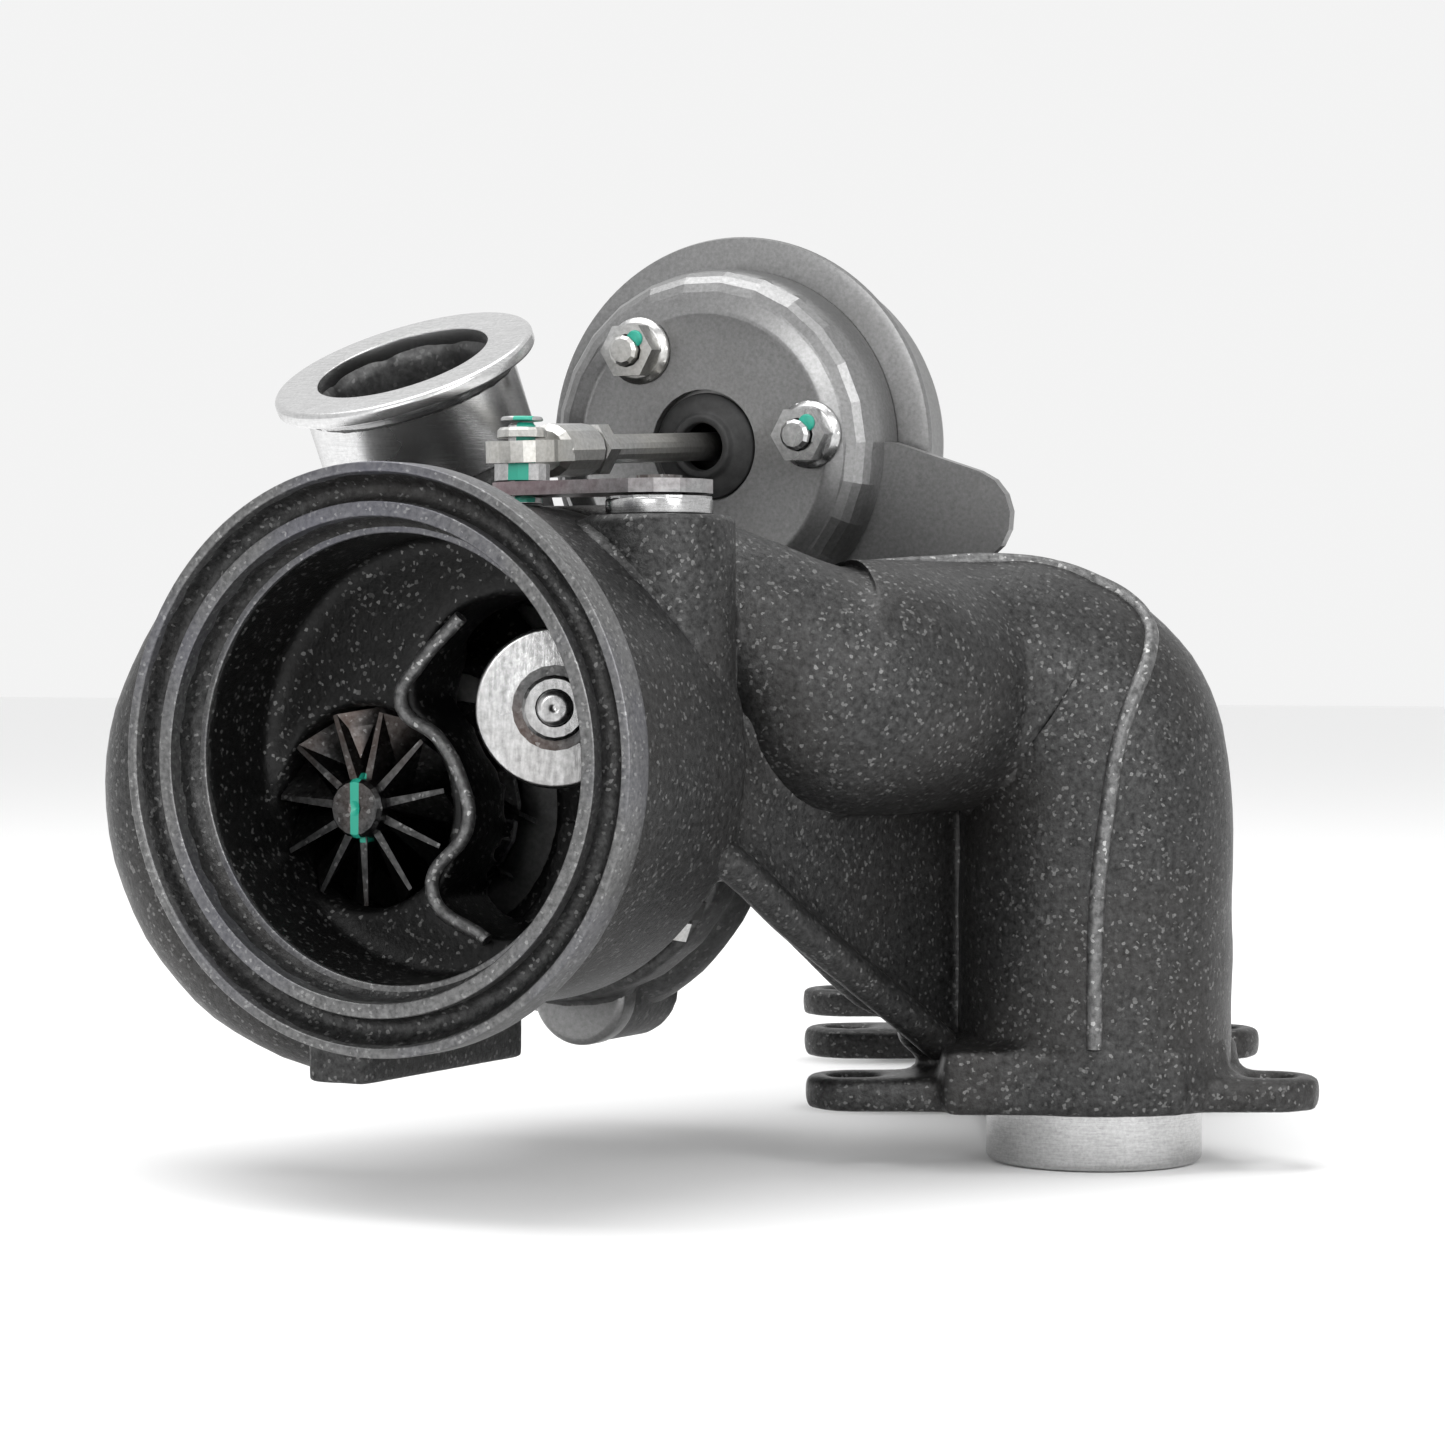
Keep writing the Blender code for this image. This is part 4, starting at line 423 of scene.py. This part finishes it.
# smooth skins over the long gas ways
SCROLL = [(350, 29.5, 5.5), (315, 31.0, 7.5), (270, 35.5, 10.0), (225, 44.0, 14.5), (185, 49.5, 17.5),
          (150, 48.0, 17.5), (110, 42.0, 16.5), (75, 38.0, 16.0)]
scroll = []
for angle, centre_r, radius in smooth(SCROLL, 9):
    turn = math.radians(angle)
    scroll.append((SHAFT.x + centre_r * math.cos(turn), SCROLL_Y, SHAFT.z + centre_r * math.sin(turn),
                   radius))
route = [scroll[-1], (-50.4, -118.5, 93.9, 15.8), (-36.7, -109.6, 94.0, 15.6), (-23.7, -100.6, 88.5, 17.0),
         (-13.2, -91.1, 79.0, 22.2), (-5.9, -80.6, 77.5, 23.0), (-0.9, -61.0, 77.8, 23.0),
         (9.1, -47.1, 76.9, 24.3), (17.6, -42.2, 69.5, 25.3), (20.6, -40.6, 56.5, 25.5),
         (20.6, -40.6, 30.0, 25.5), (20.6, -40.6, 7.3, 25.5)]
HOLLOWS = [((OUTLET.x, OUTLET.z), -180, -146.5, 42.5), ((-43.25, SEAT.z), -150, -126.5, 20.0),
           ((SHAFT.x, SHAFT.z), -150, -112, 35.0), ((-35.2, SEAT.z), -150, -128, 18.0)]
duct("gas_way_skin", scroll + smooth(route, 8)[1:], "housing", CAST, 0.15,
     HOLLOWS)
log = smooth([(-61.8, 121.7, 7.3, 20.5), (-61.8, 121.7, 42.0, 20.5), (-60.6, 119.5, 56.0, 20.5),
              (-56.8, 111.9, 65.5, 20.5), (-50.0, 98.6, 72.0, 20.5), (-39.1, 77.1, 73.5, 20.5),
              (-20.6, 40.6, 73.5, 20.5), (0, 0, 73.5, 20.5), (16.9, -33.5, 73.5, 20.5)], 8)
duct("log_skin", log, "housing", CAST, 0.15)
duct("middle_leg_skin", [(-20.6, 40.6, z, 20.5) for z in range(8, 72, 3)], "housing", CAST,
     0.15)
neck = []
for angle, centre_r, radius in smooth([(-40, 29.0, 5.0), (0, 29.5, 6.0), (45, 30.5, 8.0), (90, 32.0, 11.5),
                                       (135, 32.5, 14.0), (180, 32.5, 16.0)], 9):
    turn = math.radians(angle)
    neck.append((SHAFT.x + centre_r * math.cos(turn), COVER_WAY_Y, SHAFT.z - centre_r * math.sin(turn),
                 radius))
rise = [neck[-1], (neck[-1][0] + 0.4, -62.8, SHAFT.z + 18, 17.0)]
rise += [(*(SPOUT_TIP - SPOUT_DIR * d), r) for d, r in ((42, 18.5), (30, 20.2), (20, 20.6))]
# cover way skin, in the same cast aluminium darkened with painted shade
duct("cover_way_skin", neck + smooth(rise, 8)[1:], "housing", SHADED_CAST_ALU, 0.12,
     [((SHAFT.x, SHAFT.z), -110, 0, 24.5)], ripple=0.12)
lathe("drum_skin", rounded([(43.75, 8.0), (43.75, 50.0), (42.6, 50.0), (42.6, 8.0)], 0.4), OUTLET, (0, 1, 0),
      "housing", CAST, 128)
lathe("boss_skin", rounded([(9.6, 107.35), (12.2, 107.35), (13.15, 106.4), (13.15, 78.0), (9.6, 78.0)], 0.4),
      (GATE_AXIS.x, GATE_AXIS.y, 0), (0, 0, 1), "housing", CAST, 96)

# parting ridge over the elbow above port 1
ridge = [(-10.0, -78.0, 99.0), (-2.0, -66.0, 100.0), (9.0, -54.0, 100.6), (16.5, -49.0, 99.4),
         (22.8, -46.6, 97.0), (29.0, -44.6, 93.4), (33.5, -46.5, 89.0), (35.7, -51.3, 84.0),
         (35.5, -58.2, 76.0), (34.0, -61.4, 68.1), (31.9, -63.0, 52.0), (30.7, -63.7, 39.4),
         (30.3, -63.8, 25.9), (30.3, -63.8, 12.5)]
# the ridge's lighter iron is a painted highlight
tube("parting_ridge", ridge, 1.5, "housing", RIDGE_HIGHLIGHT_IRON)
tube("web_edge", [(-17.0, -122.0, 50.0), (-15.0, -116.0, 46.6), (-12.0, -101.0, 36.8), (-8.0, -85.2, 27.0),
                  (-4.5, -69.8, 17.8), (-1.5, -60.5, 11.5)], 3.3, "housing", CAST)

# ridge between the wheel throat and the gate pocket
wall = [(20.8, 33), (12.5, 25), (8.6, 18.4), (16.5, 12), (20.8, 5.1), (22.2, -2.2), (14.9, -13.9),
        (25.9, -22)]
# the divider ridge's lighter iron is a painted highlight
tube("divider_ridge", [(SHAFT.x + x, DIVIDER_Y, SHAFT.z + z) for x, z in wall], 1.2, "housing", RIDGE_HIGHLIGHT_IRON)

# ------------------------------------------------------------------ sleeves
ports = [(20.59, -40.57), (-20.59, 40.57), (-61.76, 121.72)]
for k, (x, y) in enumerate(ports):
    sleeve = lathe(f"sleeve_{k + 1}", rounded([
        (16.7, -10.4), (19.2, -10.4), (20.0, -9.6), (20.0, 7.6), (16.7, 7.6)], 0.5),
        (x, y, 0), (0, 0, 1), "housing", BRIGHT, 96)
    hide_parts(f"port_sleeve_{k + 1}")

# ------------------------------------------------------------------ actuator
FACE = 74.0
STUD_CIRCLE_R = 22.8
STUD_START_DEG = 4.5


def on_rod(x, along, z):
    return PIN + ROD_DIR * along + ROD_X * x + ROD_Z * z


skin = [(11.0, FACE - 0.15), (24.5, FACE - 0.15), (25.4, FACE - 0.55), (26.4, FACE - 0.6),
        (27.4, FACE - 0.15),
        (29.0, FACE + 0.1), (30.8, FACE + 0.9), (32.4, FACE + 2.3), (33.6, FACE + 4.4), (34.15, FACE + 7.0),
        (34.2, FACE + 15.0), (32.2, FACE + 14.6),
        (32.2, FACE + 7.4), (31.2, FACE + 4.6), (28.5, FACE + 2.6), (11.0, FACE + 1.8)]
lathe("dish_skin", skin, PIN, ROD_DIR, "housing", SATIN, 128)
soften("actuator_bracket", SATIN, 0.5)
shell = [(34.0, FACE + 15.3), (39.0, FACE + 15.3), (40.4, FACE + 15.6), (40.7, FACE + 16.6),
         (40.4, FACE + 17.8), (38.4, FACE + 18.4), (36.8, FACE + 19.6), (36.5, FACE + 22),
         (36.4, FACE + 33.0), (34.8, FACE + 37.4),
         (30.8, FACE + 40.6), (24, FACE + 41.4), (7, FACE + 41.5), (7, FACE + 40.2), (29, FACE + 39.2),
         (33.8, FACE + 35.5), (35.2, FACE + 31), (35.2, FACE + 19), (36, FACE + 17), (34, FACE + 16.6)]
rear = lathe("rear_skin", shell, PIN, ROD_DIR, "housing", SATIN, 128)
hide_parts("actuator_rear_shell")
soften("actuator_front_shell", SATIN, 0.4)
boot = lathe("boot_skin", rounded([
    (4.6, FACE - 1.5), (5.9, FACE - 1.7), (6.6, FACE - 0.3), (8.8, FACE + 0.3), (10.3, FACE + 0.9),
    (10.3, FACE + 1.9), (4.6, FACE + 1.9)], 0.4), PIN, ROD_DIR, "housing", RUBBER, 64)
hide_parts("rod_boot")
for k in range(3):
    turn = math.radians(STUD_START_DEG + 120 * k)
    x, z = STUD_CIRCLE_R * math.cos(turn), STUD_CIRCLE_R * math.sin(turn)
    base = on_rod(x, 0, z)
    lathe(f"nut_collar_{k + 1}", rounded([
        (3.1, FACE - 0.4), (6.5, FACE - 0.4), (6.5, FACE - 1.1), (5.4, FACE - 2.3), (3.1, FACE - 2.3)], 0.3),
        base, ROD_DIR, "housing", ZINC, 48)
    soften(f"actuator_nut_{k + 1}", ZINC, 0.3)
    soften(f"actuator_stud_{k + 1}", ZINC, 0.3)
    mark = on_rod(x + 2.0, FACE - 6.5, z + 2.2)
    lathe(f"paint_mark_{k + 1}", rounded([(0, 0), (1.7, 0), (1.5, 0.6), (0, 0.9)], 0.2), mark, -ROD_DIR,
          "housing", metal(f"paint_{k + 1}", (0.01, 0.25, 0.18), (0.02, 0.36, 0.26), 0.4, 0.0),
          20)

# ------------------------------------------------------------------ wastegate
lathe("bushing_skin", rounded([
    (4.3, 107.5), (9.3, 107.5), (9.3, 110.0), (8.6, 110.75), (5.0, 110.75), (4.3, 110.2)], 0.3),
    (GATE_AXIS.x, GATE_AXIS.y, 0), (0, 0, 1), "housing", BRIGHT, 96)
swing = Matrix.Translation(GATE_AXIS) @ GATE_TURN @ Matrix.Translation(-GATE_AXIS)
FLAP_GAP = 0.3
FLAP_THICKNESS = 2.4
front = SEAT.y - FLAP_GAP - FLAP_THICKNESS
flap = lathe("flap_skin", rounded([
    (0, SEAT.y - FLAP_GAP), (13.4, SEAT.y - FLAP_GAP), (13.9, SEAT.y - 0.9), (13.9, front + 0.5),
    (13.4, front), (3.0, front), (3.0, front - 6.7), (2.2, front - 7.3), (0.8, front - 7.3), (0, front - 6.9)], 0.3),
    (SEAT.x, 0, SEAT.z), (0, 1, 0), "gate", FLAP_METAL, 96, swing)
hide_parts("wastegate_flap")
lathe("lever_pin_head", rounded([(0, 0.05), (3.4, 0.05), (3.7, -0.3), (3.7, -0.7), (0, -0.7)], 0.25),
      (PIN.x, PIN.y, 125.0), (0, 0, 1), "gate", ZINC_MARKED, 48)

# ------------------------------------------------------------------ skins of the other CAD pieces
SKINS = {
    "turbine_wheel_and_shaft": WHEEL_FACE, "wastegate_shaft_arm": DARK_ALLOY, "flap_washer": FLAP_METAL,
    "wastegate_lever": HEAT_TINT, "lever_pin": ZINC_MARKED, "lever_pin_clip": ZINC, "rod_end": ZINC,
    "rod_jam_nut": ZINC, "actuator_rod": ZINC, "actuator_piston": SATIN, "bushing_lock_pin": BRIGHT,
    "wastegate_bushing": BRIGHT, "vacuum_nipple": ZINC, "actuator_diaphragm": RUBBER,
    "actuator_return_spring": SPRING, "bracket_bolt_1": ZINC, "bracket_bolt_2": ZINC, "heat_shield": SATIN,
    "clamp_band": SATIN, "clamp_band_bolt": ZINC, "clamp_band_nut": ZINC, "compressor_backplate": ALUMINIUM,
    "compressor_snap_ring": SPRING, "compressor_wheel": ALUMINIUM, "compressor_nut": BRIGHT,
    "thrust_collar": BRIGHT, "thrust_bearing": BRONZE, "oil_flinger_sleeve": BRIGHT, "bearing_spacer": BRIGHT,
    "turbine_piston_ring": SPRING, "compressor_piston_ring": SPRING, "turbine_side_bearing": BRONZE,
    "compressor_side_bearing": BRONZE,
}
for node, material in SKINS.items():
    soften(node, material, 0.18)

# ------------------------------------------------------------------ stage, light, camera
floor_mesh = bpy.data.meshes.new("floor")
FLOOR_HALF = 6.0
FLOOR_Z = -0.0106
corners = [(x * FLOOR_HALF, y * FLOOR_HALF, FLOOR_Z) for x, y in ((-1, -1), (1, -1), (1, 1), (-1, 1))]
floor_mesh.from_pydata(corners, [], [(0, 1, 2, 3)])
floor = bpy.data.objects.new("floor", floor_mesh)
bpy.context.scene.collection.objects.link(floor)
pale = bpy.data.materials.new("pale_floor")
pale.use_nodes = True
pale.node_tree.nodes["Principled BSDF"].inputs["Base Color"].default_value = (0.93, 0.93, 0.93, 1)
pale.node_tree.nodes["Principled BSDF"].inputs["Roughness"].default_value = 0.8
floor_mesh.materials.append(pale)

world = bpy.data.worlds.new("studio")
bpy.context.scene.world = world
world.use_nodes = True
world.node_tree.nodes["Background"].inputs[0].default_value = (1, 1, 1, 1)
world.node_tree.nodes["Background"].inputs[1].default_value = 0.9


def panel(name, place, target, size, power):
    light = bpy.data.lights.new(name, "AREA")
    light.shape = "RECTANGLE"
    light.size, light.size_y = size
    light.energy = power
    item = bpy.data.objects.new(name, light)
    bpy.context.scene.collection.objects.link(item)
    item.location = place
    item.rotation_euler = (Vector(target) - Vector(place)).to_track_quat("-Z", "Y").to_euler()


panel("overhead", (-0.2, -0.1, 1.1), (-0.05, -0.05, 0.06), (1.0, 1.0), 9)
panel("right", (1.0, -0.7, 0.6), (-0.05, -0.05, 0.06), (0.5, 0.9), 7)
panel("front", (0.1, -1.3, 0.45), (-0.05, -0.1, 0.06), (0.5, 0.4), 3)

camera = bpy.data.cameras.new("camera")
camera.lens = 94.67
camera.sensor_width = 36.0
eye = bpy.data.objects.new("camera", camera)
bpy.context.scene.collection.objects.link(eye)
eye.location = (0.2914, -0.6973, 0.0834)
CAMERA_TILT_DEG = -1.02
CAMERA_TURN_DEG = 28.0
eye.rotation_euler = (math.radians(90 + CAMERA_TILT_DEG), 0, math.radians(CAMERA_TURN_DEG))
bpy.context.scene.camera = eye
bpy.context.scene.view_settings.view_transform = "Standard"
